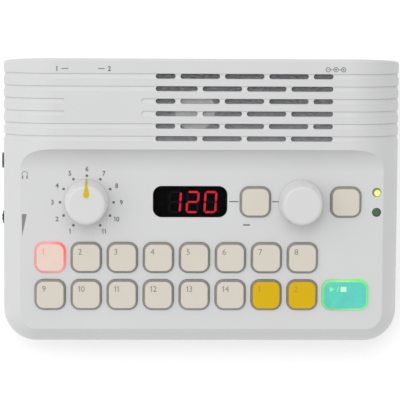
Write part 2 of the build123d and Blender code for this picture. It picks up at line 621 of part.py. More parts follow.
with BuildPart() as upper_case:
    add(outside.part)
    for row_index in range(ROWS):
        add(groove_cutter(row_index), mode=Mode.SUBTRACT)
    add(CAVITY, mode=Mode.SUBTRACT)
    add(upper_posts.part)
    with BuildSketch(Plane.XY.offset(BOSS_MEET_Z)):
        with Locations(*SCREW_PLACES):
            Circle(SCREW_SHANK_R)
    extrude(amount=SCREW_BITE + PAST, mode=Mode.SUBTRACT)
    with BuildSketch(TOP.offset(BOARD_H)):
        with Locations(*POST_PLACES):
            Circle(SMALL_SHANK_R)
    extrude(amount=POST_BITE + SCREW_GAP, mode=Mode.SUBTRACT)
    with BuildSketch(TOP.offset(BASKET_H - BASKET_FLANGE)):
        with Locations(*clamp_places()):
            Circle(SMALL_SHANK_R)
    extrude(amount=CLAMP_BITE + SCREW_GAP, mode=Mode.SUBTRACT)
    with BuildSketch(TOP.offset(PAST)):
        for row_index in range(ROWS):
            for slot_x, slot_length in slots_in_row(row_index):
                with Locations((slot_x, FIRST_ROW_V - row_index * ROW_PITCH)):
                    SlotOverall(slot_length, SLOT_HEIGHT)
    extrude(amount=-WALL - 2 * PAST, mode=Mode.SUBTRACT)
    with BuildSketch(TOP.offset(PANEL_H + PAST)):
        with Locations(*SQUARE_KEYS.values()):
            RectangleRounded(KEY_OPENING, KEY_OPENING, KEY_OPENING_R)
        with Locations(PLAY_PLACE):
            RectangleRounded(PLAY_WIDTH, KEY_OPENING, KEY_OPENING_R)
        window_outline(0)
        with Locations((SELECTOR_X, CONTROL_V), (VALUE_X, CONTROL_V)):
            Circle(SHAFT_HOLE_R)
        with Locations(*[(LAMP_X, v) for v in LAMP_V]):
            Circle(LAMP_R + LAMP_GAP)
    extrude(amount=-WALL - 2 * PAST, mode=Mode.SUBTRACT)
    # rear wall: foot-switch jacks, power inlet, switch slider
    with BuildSketch(Plane.XZ.offset(-DEPTH / 2 - PAST)):
        with Locations(*[(x, FOOT_JACK_Z) for x in FOOT_JACK_X]):
            Circle(FOOT_JACK_NOSE_R + NOSE_GAP)
        with Locations((INLET_X, INLET_Z)):
            Circle(INLET_NOSE_R + NOSE_GAP)
        with Locations((POWER_X, POWER_Z)):
            Rectangle(*SLIDER_CHANNEL)
    extrude(amount=WALL + 2 * PAST, mode=Mode.SUBTRACT)
    with BuildSketch(Plane.XZ.offset(-DEPTH / 2)):
        with Locations((POWER_X, POWER_Z)):
            RectangleRounded(*HOLLOW_SIZE, HOLLOW_SIZE[1] / 4)
    extrude(amount=HOLLOW_DEPTH, mode=Mode.SUBTRACT)
    # left wall: headphone jack, volume wheel
    with BuildSketch(Plane.YZ.offset(-WIDTH / 2 - PAST)):
        with Locations((PHONES_Y, PHONES_Z)):
            Circle(PHONES_NOSE_R + NOSE_GAP)
        with Locations((WHEEL_Y, WHEEL_Z)):
            Rectangle(2 * WHEEL_R, WHEEL_THICK + 2 * WHEEL_SLOT_GAP)
    extrude(amount=WALL + 2 * PAST, mode=Mode.SUBTRACT)
    above(PARTING_Z)
    add(rebate.part, mode=Mode.SUBTRACT)
save(upper_case, "upper_case")

with BuildPart() as lip:
    add(case_form(LIP_INSET))
    add(CAVITY, mode=Mode.SUBTRACT)
    above(PARTING_Z - PAST)
    below(PARTING_Z + LIP_HEIGHT)

with BuildPart() as lower_case:
    add(outside.part)
    add(CAVITY, mode=Mode.SUBTRACT)
    below(PARTING_Z)
    add(lip.part)
    # battery bay, open downwards
    with BuildSketch(Plane.XY.offset(FOOT_HEIGHT + WALL / 2)):
        with Locations((0, BAY_Y)):
            Rectangle(BAY_WIDTH + 2 * BAY_WALL, BAY_DEPTH + 2 * BAY_WALL)
    extrude(amount=BAY_TOP_Z + BAY_WALL - FOOT_HEIGHT - WALL / 2)
    with BuildSketch(Plane.XY.offset(FOOT_HEIGHT - PAST)):
        with Locations((0, BAY_Y)):
            Rectangle(BAY_WIDTH, BAY_DEPTH)
    extrude(amount=BAY_TOP_Z - FOOT_HEIGHT + PAST, mode=Mode.SUBTRACT)
    with BuildSketch(Plane.XY.offset(FLOOR_Z)):
        with Locations((-TAB_X, BAY_REAR_Y), (TAB_X, BAY_REAR_Y)):
            Rectangle(TAB_WIDTH + 2 * DOOR_GAP, 2 * (BAY_WALL + DOOR_GAP))
    extrude(amount=DOOR_SWING, mode=Mode.SUBTRACT)
    with BuildSketch(Plane.XY.offset(FOOT_HEIGHT)):
        with Locations((0, BAY_Y - BAY_DEPTH / 2)):
            Circle(NOTCH_R)
    extrude(amount=NOTCH_DEPTH, mode=Mode.SUBTRACT)
    # bosses and posts
    with BuildSketch(Plane.XY.offset(FOOT_HEIGHT + WALL / 2)):
        with Locations(*SCREW_PLACES):
            Circle(BASE_BOSS_R)
    extrude(amount=BOSS_MEET_Z - FOOT_HEIGHT - WALL / 2)
    with BuildSketch(Plane.XY.offset(FOOT_HEIGHT - PAST)):
        with Locations(*SCREW_PLACES):
            Circle(SCREW_WELL_R)
    extrude(amount=BOSS_MEET_Z - SCREW_GRIP - FOOT_HEIGHT + PAST, mode=Mode.SUBTRACT)
    with BuildSketch(Plane.XY.offset(BOSS_MEET_Z)):
        with Locations(*SCREW_PLACES):
            Circle(SCREW_SHANK_R + SCREW_GAP)
    extrude(amount=-SCREW_GRIP - PAST, mode=Mode.SUBTRACT)
    with BuildSketch(Plane.XY.offset(FOOT_HEIGHT + WALL / 2)):
        with Locations(*MAIN_POSTS):
            Circle(POST_R)
    extrude(amount=MAIN_TOP_Z - MAIN_THICK - FOOT_HEIGHT - WALL / 2)
    with BuildSketch(Plane.XY.offset(MAIN_TOP_Z - MAIN_THICK)):
        with Locations(*MAIN_POSTS):
            Circle(SMALL_SHANK_R)
    extrude(amount=-POST_BITE - SCREW_GAP, mode=Mode.SUBTRACT)
    with BuildSketch(Plane.XY.offset(FOOT_HEIGHT - PAST)):
        with Locations(*FOOT_PLACES):
            Circle(FOOT_R)
    extrude(amount=FOOT_SEAT + PAST, mode=Mode.SUBTRACT)
save(lower_case, "lower_case")

with BuildPart() as battery_door:
    with BuildSketch(Plane.XY.offset(FOOT_HEIGHT)):
        with Locations((0, BAY_Y)):
            Rectangle(BAY_WIDTH - 2 * DOOR_GAP, BAY_DEPTH - 2 * DOOR_GAP)
    extrude(amount=DOOR_THICK)
    with BuildSketch(Plane.XY.offset(FOOT_HEIGHT + DOOR_THICK)):
        with Locations((-TAB_X, BAY_REAR_Y - DOOR_GAP), (TAB_X, BAY_REAR_Y - DOOR_GAP)):
            Rectangle(TAB_WIDTH, TAB_REACH, align=(Align.CENTER, Align.MAX))
    extrude(amount=WALL - DOOR_THICK + DOOR_GAP + TAB_THICK)
    with BuildSketch(Plane.XY.offset(FLOOR_Z + DOOR_GAP)):
        with Locations((-TAB_X, BAY_REAR_Y - DOOR_GAP), (TAB_X, BAY_REAR_Y - DOOR_GAP)):
            Rectangle(TAB_WIDTH, BAY_WALL, align=(Align.CENTER, Align.MIN))
    extrude(amount=TAB_THICK)
save(battery_door, "battery_door")

with BuildPart() as rubber_feet:
    with BuildSketch():
        with Locations(*FOOT_PLACES):
            Circle(FOOT_R)
    extrude(amount=FOOT_HEIGHT + FOOT_SEAT)
    fillet(rubber_feet.faces().filter_by(Axis.Z).group_by(Axis.Z)[0].edges(), FOOT_EDGE_R)
save(rubber_feet, "rubber_feet")

with BuildPart() as battery_contacts:
    for cell_row in range(CELL_ROWS):
        row_y = BAY_Y + (cell_row - (CELL_ROWS - 1) / 2) * (2 * CELL_R + CELL_GAP)
        for end in (-1, 1):
            bow = CONTACT_BOW[(cell_row + (end + 1) // 2) % 2]
            wall_x = -end * BAY_WIDTH / 2
            with BuildSketch(Plane.XY.offset(CELL_Z - CONTACT_HEIGHT / 2)):
                with BuildLine():
                    Polyline(
                        (wall_x, row_y - CONTACT_WIDTH / 2),
                        (wall_x + end * CONTACT_SHEET, row_y - CONTACT_WIDTH / 2),
                        (wall_x + end * (bow + CONTACT_SHEET), row_y),
                        (wall_x + end * CONTACT_SHEET, row_y + CONTACT_WIDTH / 2),
                        (wall_x, row_y + CONTACT_WIDTH / 2),
                        (wall_x + end * bow, row_y),
                        close=True,
                    )
                make_face()
            extrude(amount=CONTACT_HEIGHT)
save(battery_contacts, "battery_contacts")


# ---- Screws ---------------------------------------------------------------------------------------
def screw(head_r, head, shank_r, length):
    """Cross-head screw: head below the seat at zero, shank above it."""
    with BuildPart() as made:
        with BuildSketch(Plane.XY.offset(-head)):
            Circle(head_r)
        extrude(amount=head)
        chamfer(made.edges().sort_by(Axis.Z)[0], head / 4)
        with BuildSketch():
            Circle(shank_r)
        extrude(amount=length)
        with BuildSketch(Plane.XY.offset(-head)):
            Rectangle(1.2 * head_r, CROSS_WIDTH)
            Rectangle(CROSS_WIDTH, 1.2 * head_r)
        extrude(amount=head * CROSS_DEPTH, mode=Mode.SUBTRACT)
    return made.part


case_screw = screw(SCREW_HEAD_R, SCREW_HEAD, SCREW_SHANK_R, SCREW_GRIP + SCREW_BITE)
with BuildPart() as case_screws:
    with Locations(*[(x, y, BOSS_MEET_Z - SCREW_GRIP) for x, y in SCREW_PLACES]):
        add(case_screw)
save(case_screws, "case_screws")

board_screw = screw(SMALL_HEAD_R, SMALL_HEAD, SMALL_SHANK_R, BOARD_THICK + POST_BITE)
with BuildPart() as board_screws:
    with Locations(*[slope_spot(x, v, BOARD_H - BOARD_THICK) for x, v in POST_PLACES]):
        add(board_screw)
save(board_screws, "board_screws")

main_screw = screw(SMALL_HEAD_R, SMALL_HEAD, SMALL_SHANK_R, MAIN_THICK + POST_BITE)
with BuildPart() as main_board_screws:
    with Locations(*[Location((x, y, MAIN_TOP_Z), (180, 0, 0)) for x, y in MAIN_POSTS]):
        add(main_screw)
save(main_board_screws, "main_board_screws")

clamp_screw = screw(CLAMP_HEAD_R, SMALL_HEAD, SMALL_SHANK_R, CLAMP_BITE)
with BuildPart() as speaker_screws:
    with Locations(*[slope_spot(x, v, BASKET_H - BASKET_FLANGE) for x, v in clamp_places()]):
        add(clamp_screw)
save(speaker_screws, "speaker_screws")


# ---- Keys, mat and panel board --------------------------------------------------------------------
def key_cap(x, v, width):
    """One sprung key: stem, stop flange under the panel, skirt in the opening, shouldered flat top."""
    body = (width - 2 * KEY_GAP, KEY_OPENING - 2 * KEY_GAP)
    body_r = KEY_OPENING_R - KEY_GAP
    top = [side - 2 * KEY_RING for side in body]
    flange = (width + 2 * KEY_FLANGE, KEY_OPENING + 2 * KEY_FLANGE)
    with BuildPart() as key:
        with BuildSketch(TOP.offset(STEM_H)):
            with Locations((x, v)):
                Circle(KEY_STEM_R)
        extrude(amount=KEY_STEM_LENGTH)
        with BuildSketch(TOP.offset(FLANGE_H - KEY_FLANGE_THICK)):
            with Locations((x, v)):
                RectangleRounded(*flange, KEY_OPENING_R)
        extrude(amount=KEY_FLANGE_THICK)
        with BuildSketch(TOP.offset(FLANGE_H)):
            with Locations((x, v)):
                RectangleRounded(*body, body_r)
        extrude(amount=PANEL_H + KEY_SKIRT - FLANGE_H)
        with BuildSketch(TOP.offset(PANEL_H + KEY_SKIRT)):
            with Locations((x, v)):
                RectangleRounded(*body, body_r)
        with BuildSketch(TOP.offset(PANEL_H + KEY_RISE)):
            with Locations((x, v)):
                RectangleRounded(*top, body_r - KEY_RING)
        loft()
        fillet(key.faces().sort_by(normal_axis(x, v))[-1].edges(), KEY_EDGE_R)
    return key


for key_name, (key_x, key_v) in SQUARE_KEYS.items():
    save(key_cap(key_x, key_v, KEY_OPENING), key_name)
save(key_cap(*PLAY_PLACE, PLAY_WIDTH), "play_key")

KEY_PLACES = list(SQUARE_KEYS.values()) + [PLAY_PLACE]
MAT_EDGE = KEY_OPENING / 2 + KEY_FLANGE  # middle of a key to the mat's edge
MAT_LEFT = KEY_FIRST_X - MAT_EDGE
MAT_RIGHT = PLAY_X + PLAY_WIDTH / 2 + KEY_FLANGE

with BuildPart() as key_mat:
    with BuildSketch(TOP.offset(BOARD_H)):
        with Locations(((MAT_LEFT + MAT_RIGHT) / 2, (KEY_ROW_V[0] + KEY_ROW_V[1]) / 2)):
            Rectangle(MAT_RIGHT - MAT_LEFT, KEY_ROW_V[0] - KEY_ROW_V[1] + 2 * MAT_EDGE)
        with Locations((TAP_X, CONTROL_V + MAT_EDGE), (MODE_X, CONTROL_V + MAT_EDGE)):
            Rectangle(2 * MAT_EDGE, CONTROL_V + MAT_EDGE - KEY_ROW_V[0], align=(Align.CENTER, Align.MAX))
    extrude(amount=MAT_THICK)
    with BuildSketch(TOP.offset(BOARD_H)):
        with Locations(*KEY_PLACES):
            Circle(DOME_R)
    extrude(amount=STEM_H - DOME_GAP - BOARD_H)
    with BuildSketch(TOP.offset(BOARD_H)):
        with Locations(*[(x + CHIP_OFFSET, v + CHIP_OFFSET) for x, v in KEY_PLACES]):
            Rectangle(CHIP_SIZE[0] + CHIP_WINDOW, CHIP_SIZE[1] + CHIP_WINDOW)
    extrude(amount=MAT_THICK, mode=Mode.SUBTRACT)
save(key_mat, "key_mat")

with BuildPart() as key_lights:
    with BuildSketch(TOP.offset(BOARD_H)):
        with Locations(*[(x + CHIP_OFFSET, v + CHIP_OFFSET) for x, v in KEY_PLACES]):
            Rectangle(CHIP_SIZE[0], CHIP_SIZE[1])
    extrude(amount=CHIP_SIZE[2])
save(key_lights, "key_lights")

with BuildPart() as panel_board:
    with BuildSketch(TOP.offset(BOARD_H)) as board_outline:
        with Locations(((BOARD_LEFT + BOARD_RIGHT) / 2, (BOARD_FRONT_V + BOARD_REAR_V) / 2)):
            Rectangle(BOARD_RIGHT - BOARD_LEFT, BOARD_REAR_V - BOARD_FRONT_V)
        fillet(board_outline.vertices().group_by(Axis.Y)[0], BOARD_CORNER_R)
        with Locations((BOARD_RIGHT - PAST, (BOARD_TAB_V[0] + BOARD_TAB_V[1]) / 2)):
            Rectangle(
                BOARD_TAB_RIGHT - BOARD_RIGHT + PAST,
                BOARD_TAB_V[1] - BOARD_TAB_V[0],
                align=(Align.MIN, Align.CENTER),
            )
        with Locations(*POST_PLACES):
            Circle(SMALL_SHANK_R, mode=Mode.SUBTRACT)
    extrude(amount=-BOARD_THICK)
    with BuildSketch(TOP.offset(BOARD_H - BOARD_THICK)):
        with Locations((RIBBON_X, RIBBON_V)):
            Rectangle(RIBBON_WIDTH + 2 * RIBBON_SHEET, SOCKET_DEPTH)
    extrude(amount=-SOCKET_HEIGHT)
save(panel_board, "panel_board")


# ---- Display and lamps ----------------------------------------------------------------------------
with BuildPart() as display_window:
    with BuildSketch(TOP.offset(UNDER_H)):
        window_outline(-WINDOW_GAP)
    extrude(amount=WALL)
    with BuildSketch(TOP.offset(UNDER_H)):
        window_outline(WINDOW_RIM)
    extrude(amount=-WINDOW_RIM_THICK)
save(display_window, "display_window")

with BuildPart() as display_module:
    with BuildSketch(TOP.offset(BOARD_H)):
        with Locations((DISPLAY_X, CONTROL_V)):
            Rectangle(MODULE_WIDTH, MODULE_DEPTH)
    extrude(amount=BOARD_DROP - WINDOW_RIM_THICK - WINDOW_GAP)
save(display_module, "display_module")

for lamp_name, lamp_v in zip(("pattern_lamp", "pad_lamp"), LAMP_V):
    with BuildPart() as lamp:
        with BuildSketch(TOP.offset(BOARD_H)):
            with Locations((LAMP_X, lamp_v)):
                Circle(LAMP_COLLAR_R)
        extrude(amount=LAMP_COLLAR)
        with BuildSketch(TOP.offset(BOARD_H)):
            with Locations((LAMP_X, lamp_v)):
                Circle(LAMP_R)
        extrude(amount=PANEL_H + LAMP_RISE - BOARD_H)
        fillet(lamp.faces().sort_by(normal_axis(LAMP_X, lamp_v))[-1].edges(), LAMP_R / 3)
    save(lamp, lamp_name)


# ---- Knobs, shafts and their switches --------------------------------------------------------------
def knob_profile(outset, foot_reach):
    """Half section of a knob: local x from the axis, local y as h, every face moved out by outset."""
    foot = PANEL_H + KNOB_GAP
    top = PANEL_H + KNOB_HEIGHT + outset
    with BuildSketch() as half:
        with BuildLine():
            Polyline(
                (0, foot),
                (KNOB_BASE_R + outset + foot_reach, foot),
                (KNOB_TOP_R + outset, top),
                (0, top),
                close=True,
            )
        make_face()
        fillet(half.vertices().group_by(Axis.Y)[-1].sort_by(Axis.X)[-1], KNOB_EDGE_R + outset)
    return half.sketch


def knob_form(x, v, outset=0.0, foot_reach=0.0):
    """Solid of revolution with a knob's outline."""
    with BuildPart() as turned:
        with BuildSketch(axial_plane(x, v)):
            add(knob_profile(outset, foot_reach))
        revolve(axis=normal_axis(x, v))
    return turned.part


def d_shaft(x, v):
    """Shaft from inside its switch up into the knob, with a flat where the knob grips it."""
    foot = BOARD_H + SHAFT_END_GAP + PAST
    with BuildPart() as shaft:
        with BuildSketch(TOP.offset(foot)):
            with Locations((x, v)):
                Circle(SHAFT_R)
        extrude(amount=PANEL_H + SHAFT_IN_KNOB - foot)
        with BuildSketch(TOP.offset(PANEL_H + KNOB_GAP)):
            with Locations((x, v - SHAFT_FLAT)):
                Rectangle(2 * SHAFT_R, SHAFT_R, align=(Align.CENTER, Align.MAX))
        extrude(amount=KNOB_HEIGHT, mode=Mode.SUBTRACT)
    return shaft


def turned_knob(x, v, shaft):
    """Knob with a hollow underside round the hub that grips the shaft."""
    with BuildPart() as knob:
        add(knob_form(x, v))
        with BuildSketch(TOP.offset(PANEL_H)):
            with Locations((x, v)):
                Circle(KNOB_TOP_R - KNOB_SKIRT)
                Circle(KNOB_HUB_R, mode=Mode.SUBTRACT)
        extrude(amount=KNOB_RECESS, mode=Mode.SUBTRACT)
        add(shaft.part, mode=Mode.SUBTRACT)
    return knob


def shaft_switch(x, v, width):
    """Body under a shaft: a box on the board with a neck, bored for the shaft."""
    with BuildPart() as switch:
        with BuildSketch(TOP.offset(BOARD_H)):
            with Locations((x, v)):
                Rectangle(width, width)
        extrude(amount=SWITCH_HEIGHT)
        with BuildSketch(TOP.offset(BOARD_H)):
            with Locations((x, v)):
                Circle(SWITCH_NECK_R)
        extrude(amount=BOARD_DROP - SHAFT_END_GAP)
        with BuildSketch(TOP.offset(BOARD_H + PAST)):
            with Locations((x, v)):
                Circle(SHAFT_R + SHAFT_RUNNING)
        extrude(amount=BOARD_DROP, mode=Mode.SUBTRACT)
    return switch


selector_shaft = d_shaft(SELECTOR_X, CONTROL_V)
value_shaft = d_shaft(VALUE_X, CONTROL_V)
selector_knob = turned_knob(SELECTOR_X, CONTROL_V, selector_shaft)
value_knob = turned_knob(VALUE_X, CONTROL_V, value_shaft)

with BuildPart() as selector_pointer:
    with BuildSketch(TOP.offset(PANEL_H)):
        with Locations((SELECTOR_X, CONTROL_V + POINTER_START + POINTER_WIDTH / 2)):
            Circle(POINTER_WIDTH / 2)
        with Locations((SELECTOR_X, CONTROL_V + KNOB_BASE_R + POINTER_REACH - POINTER_TIP_WIDTH / 2)):
            Circle(POINTER_TIP_WIDTH / 2)
        make_hull()
    extrude(amount=2 * KNOB_HEIGHT)
    add(knob_form(SELECTOR_X, CONTROL_V, POINTER_PROUD, POINTER_REACH), mode=Mode.INTERSECT)
    add(knob_form(SELECTOR_X, CONTROL_V, -POINTER_DEEP), mode=Mode.SUBTRACT)

with BuildPart() as marked_knob:
    add(selector_knob.part)
    add(selector_pointer.part, mode=Mode.SUBTRACT)
save(selector_pointer, "selector_pointer")
save(marked_knob, "selector_knob")
save(value_knob, "value_knob")
save(selector_shaft, "selector_shaft")
save(value_shaft, "value_shaft")
save(shaft_switch(SELECTOR_X, CONTROL_V, SWITCH_SIZE), "selector_switch")
save(shaft_switch(VALUE_X, CONTROL_V, ENCODER_SIZE), "value_encoder")


# ---- Speaker --------------------------------------------------------------------------------------
SPEAKER_PLANE = axial_plane(SPEAKER_X, SPEAKER_V)
SPEAKER_AXIS = normal_axis(SPEAKER_X, SPEAKER_V)
WELL_H = BASKET_H - BASKET_WELL_DEPTH
BACK_H = BASKET_H - BASKET_DEPTH
GAP_IN = COIL_R - COIL_GAP
GAP_OUT = COIL_R + COIL_GAP
CONE_H = BASKET_H - CONE_DROP  # upper face of the cone's rim
NECK_H = CONE_H - CONE_DEPTH
CAP_H = NECK_H + CONE_DEPTH * (DUST_CAP_R - COIL_R) / (CONE_R - COIL_R)
CAP_BALL_R = (DUST_CAP_R**2 + DUST_CAP_RISE**2) / (2 * DUST_CAP_RISE)
CAP_MID_H = CAP_H + DUST_CAP_RISE - CAP_BALL_R
CAP_TURN = math.degrees(math.asin(DUST_CAP_R / CAP_BALL_R))
TERMINAL_X = SPEAKER_X + SPEAKER_R - TERMINAL_INSET

with BuildPart() as speaker_cloth:
    with BuildSketch(TOP.offset(CLOTH_H)):
        with Locations(((CLOTH_X[0] + CLOTH_X[1]) / 2, (CLOTH_V[0] + CLOTH_V[1]) / 2)):
            Rectangle(CLOTH_X[1] - CLOTH_X[0], CLOTH_V[1] - CLOTH_V[0])
        with Locations(*clamp_places()):
            Circle(CLAMP_POST_R + SCREW_GAP, mode=Mode.SUBTRACT)
    extrude(amount=-CLOTH_THICK)
    with BuildSketch(Plane.XY):
        with Locations(*SCREW_PLACES):
            Circle(BOSS_R + SCREW_GAP)
    extrude(amount=REAR_HEIGHT, mode=Mode.SUBTRACT)
save(speaker_cloth, "speaker_cloth")

with BuildPart() as speaker_basket:
    with BuildSketch(SPEAKER_PLANE):
        with BuildLine():
            Polyline(
                (BASKET_WELL_R, BASKET_H),
                (SPEAKER_R, BASKET_H),
                (SPEAKER_R, BASKET_H - BASKET_FLANGE),
                (BASKET_WELL_R + BASKET_SHEET, BASKET_H - BASKET_FLANGE),
                (BASKET_WELL_R + BASKET_SHEET, WELL_H - BASKET_SHEET / 2),
                (MAGNET_R - BASKET_SHEET, BACK_H),
                (GAP_OUT, BACK_H),
                (GAP_OUT, BACK_H + BASKET_SHEET),
                (MAGNET_R - 2 * BASKET_SHEET, BACK_H + BASKET_SHEET),
                (BASKET_WELL_R, WELL_H),
                close=True,
            )
        make_face()
    revolve(axis=SPEAKER_AXIS)
    with BuildSketch(TOP.offset(WELL_H)):
        with Locations((SPEAKER_X, SPEAKER_V)):
            with PolarLocations(WINDOW_MID_R, WINDOW_COUNT, start_angle=180 / WINDOW_COUNT):
                RectangleRounded(*WINDOW_SIZE)
    extrude(amount=-BASKET_DEPTH, mode=Mode.SUBTRACT)
    with Locations(slope_spot(TERMINAL_X, SPEAKER_V, BASKET_H - BASKET_FLANGE)):
        Box(*TERMINAL_SIZE, align=(Align.CENTER, Align.CENTER, Align.MAX))
save(speaker_basket, "speaker_basket")

with BuildPart() as speaker_magnet:
    with BuildSketch(SPEAKER_PLANE):
        with BuildLine():
            Polyline(
                (0, BACK_H + BASKET_SHEET),
                (GAP_IN, BACK_H + BASKET_SHEET),
                (GAP_IN, BACK_H - MAGNET_HEIGHT + BASKET_SHEET),
                (GAP_OUT, BACK_H - MAGNET_HEIGHT + BASKET_SHEET),
                (GAP_OUT, BACK_H),
                (MAGNET_R, BACK_H),
                (MAGNET_R, BACK_H - MAGNET_HEIGHT),
                (0, BACK_H - MAGNET_HEIGHT),
                close=True,
            )
        make_face()
    revolve(axis=SPEAKER_AXIS)
save(speaker_magnet, "speaker_magnet")

with BuildPart() as speaker_cone:
    with BuildSketch(SPEAKER_PLANE):
        with BuildLine():
            cap_under = CenterArc((0, CAP_MID_H), CAP_BALL_R - CONE_SHEET, 90, -CAP_TURN * CAP_MEET)
            cap_face = CenterArc((0, CAP_MID_H), CAP_BALL_R, 90, -CAP_TURN)
            Line(cap_under @ 0, cap_face @ 0)
            Polyline(
                cap_face @ 1,
                (CONE_R, CONE_H),
                (CONE_R, CONE_H - CONE_SHEET),
                (COIL_R + CONE_SHEET / 2, NECK_H - CONE_SHEET),
                (COIL_R + CONE_SHEET / 2, BACK_H - CONE_TRAVEL),
                (COIL_R - CONE_SHEET / 2, BACK_H - CONE_TRAVEL),
                (COIL_R - CONE_SHEET / 2, NECK_H),
                cap_under @ 1,
            )
        make_face()
    revolve(axis=SPEAKER_AXIS)
save(speaker_cone, "speaker_cone")

with BuildPart() as speaker_surround:
    roll_in = CONE_R + SURROUND_GAP
    roll_mid = (roll_in + BASKET_WELL_R) / 2
    roll_r = BASKET_WELL_R - roll_mid
    with BuildSketch(SPEAKER_PLANE):
        with Locations((roll_mid, CONE_H - CONE_SHEET)):
            Circle(roll_r)
            Circle(roll_r - SURROUND_SHEET, mode=Mode.SUBTRACT)
            Rectangle(2 * roll_r, roll_r, align=(Align.CENTER, Align.MAX), mode=Mode.SUBTRACT)
    revolve(axis=SPEAKER_AXIS)
save(speaker_surround, "speaker_surround")


# ---- Main board and sockets -----------------------------------------------------------------------
def board_rectangle(left, right, front, rear):
    """Rectangle between four edges."""
    with Locations(((left + right) / 2, (front + rear) / 2)):
        Rectangle(right - left, rear - front)


with BuildPart() as main_board:
    with BuildSketch(Plane.XY.offset(MAIN_TOP_Z - MAIN_THICK)):
        board_rectangle(*MAIN_REAR)
        board_rectangle(*MAIN_ARM)
        with Locations(*SCREW_PLACES):
            Circle(BASE_BOSS_R + SCREW_GAP, mode=Mode.SUBTRACT)
        with Locations(*MAIN_POSTS):
            Circle(SMALL_SHANK_R, mode=Mode.SUBTRACT)
    extrude(amount=MAIN_THICK)
    with BuildSketch(Plane.XY.offset(MAIN_TOP_Z)):
        with Locations((RIBBON_X, SOCKET_Y)):
            Rectangle(RIBBON_WIDTH + 2 * RIBBON_SHEET, SOCKET_DEPTH)
        with Locations((WIRE_X, SOCKET_Y)):
            Rectangle(2 * WIRE_SPREAD + 2 * RIBBON_SHEET, SOCKET_DEPTH)
    extrude(amount=SOCKET_HEIGHT)
    with BuildSketch(Plane.XY.offset(MAIN_TOP_Z)):
        with Locations(CHIP_PLACE):
            Rectangle(CHIP_WIDTH, CHIP_WIDTH)
    extrude(amount=CHIP_HEIGHT)
    for cap_x, cap_back, cap_r, cap_height in CAPACITORS:
        with BuildSketch(Plane.XY.offset(MAIN_TOP_Z)):
            with Locations((cap_x, REAR - cap_back)):
                Circle(cap_r)
        extrude(amount=cap_height)
save(main_board, "main_board")


def rear_socket(x, size, nose_r, bore_r, bore):
    """Socket on the main board with a round nose through the rear wall, bored from its mouth."""
    middle_z = MAIN_TOP_Z + size[2] / 2
    mouth_y = DEPTH / 2 - NOSE_SUNK
    with BuildPart() as socket:
        with Locations((x, REAR_SEAT_Y, MAIN_TOP_Z)):
            Box(*size, align=(Align.CENTER, Align.MAX, Align.MIN))
        with BuildSketch(Plane.XZ.offset(-mouth_y)):
            with Locations((x, middle_z)):
                Circle(nose_r)
        extrude(amount=mouth_y - REAR_SEAT_Y)
        with BuildSketch(Plane.XZ.offset(-mouth_y)):
            with Locations((x, middle_z)):
                Circle(bore_r)
        extrude(amount=bore, mode=Mode.SUBTRACT)
    return socket


for jack_number, jack_x in enumerate(FOOT_JACK_X, 1):
    foot_jack = rear_socket(jack_x, FOOT_JACK_SIZE, FOOT_JACK_NOSE_R, FOOT_JACK_BORE_R, FOOT_JACK_BORE)
    save(foot_jack, f"foot_jack_{jack_number}")

with BuildPart() as dc_inlet:
    add(rear_socket(INLET_X, INLET_SIZE, INLET_NOSE_R, INLET_BORE_R, INLET_BORE).part)
    with BuildSketch(Plane.XZ.offset(INLET_PIN_SUNK + NOSE_SUNK - DEPTH / 2)):
        with Locations((INLET_X, INLET_Z)):
            Circle(INLET_PIN_R)
    extrude(amount=INLET_BORE)
save(dc_inlet, "dc_inlet")

with BuildPart() as headphone_jack:
    with Locations((-WIDTH / 2 + WALL + NOSE_GAP, PHONES_Y, MAIN_TOP_Z)):
        Box(*PHONES_SIZE, align=(Align.MIN, Align.CENTER, Align.MIN))
    with BuildSketch(Plane.YZ.offset(-WIDTH / 2 - PHONES_PROUD)):
        with Locations((PHONES_Y, PHONES_Z)):
            Circle(PHONES_NOSE_R)
    extrude(amount=PHONES_PROUD + WALL + NOSE_GAP)
    with BuildSketch(Plane.YZ.offset(-WIDTH / 2 - PHONES_PROUD)):
        with Locations((PHONES_Y, PHONES_Z)):
            Circle(PHONES_BORE_R)
    extrude(amount=PHONES_BORE, mode=Mode.SUBTRACT)
save(headphone_jack, "headphone_jack")

with BuildPart() as power_switch:
    with Locations((POWER_X, REAR_SEAT_Y, MAIN_TOP_Z)):
        Box(*POWER_SIZE, align=(Align.CENTER, Align.MAX, Align.MIN))
    with BuildSketch(Plane.XZ.offset(-REAR_SEAT_Y)):
        with Locations((POWER_X, POWER_Z)):
            Rectangle(*SLIDER_CHANNEL)
    extrude(amount=SLIDER_ROOT + SLIDER_GAP, mode=Mode.SUBTRACT)
save(power_switch, "power_switch")

with BuildPart() as power_slider:
    with BuildSketch(Plane.XZ.offset(-DEPTH / 2)):
        with Locations((POWER_X - POWER_TRAVEL / 2, POWER_Z)):
            Rectangle(*SLIDER_SIZE)
    extrude(amount=DEPTH / 2 - REAR_SEAT_Y + SLIDER_ROOT)
save(power_slider, "power_slider")

with BuildPart() as volume_wheel:
    with BuildSketch(Plane.XY.offset(WHEEL_Z - WHEEL_THICK / 2)):
        with Locations((WHEEL_X, WHEEL_Y)):
            Circle(WHEEL_R)
            with PolarLocations(WHEEL_R, WHEEL_NOTCHES):
                Circle(WHEEL_NOTCH_R, mode=Mode.SUBTRACT)
    extrude(amount=WHEEL_THICK)
    with BuildSketch(Plane.XY.offset(WHEEL_Z - WHEEL_THICK / 2)):
        with Locations((WHEEL_X, WHEEL_Y)):
            Circle(POT_SHAFT_R)
    extrude(amount=-POT_SHAFT)
save(volume_wheel, "volume_wheel")

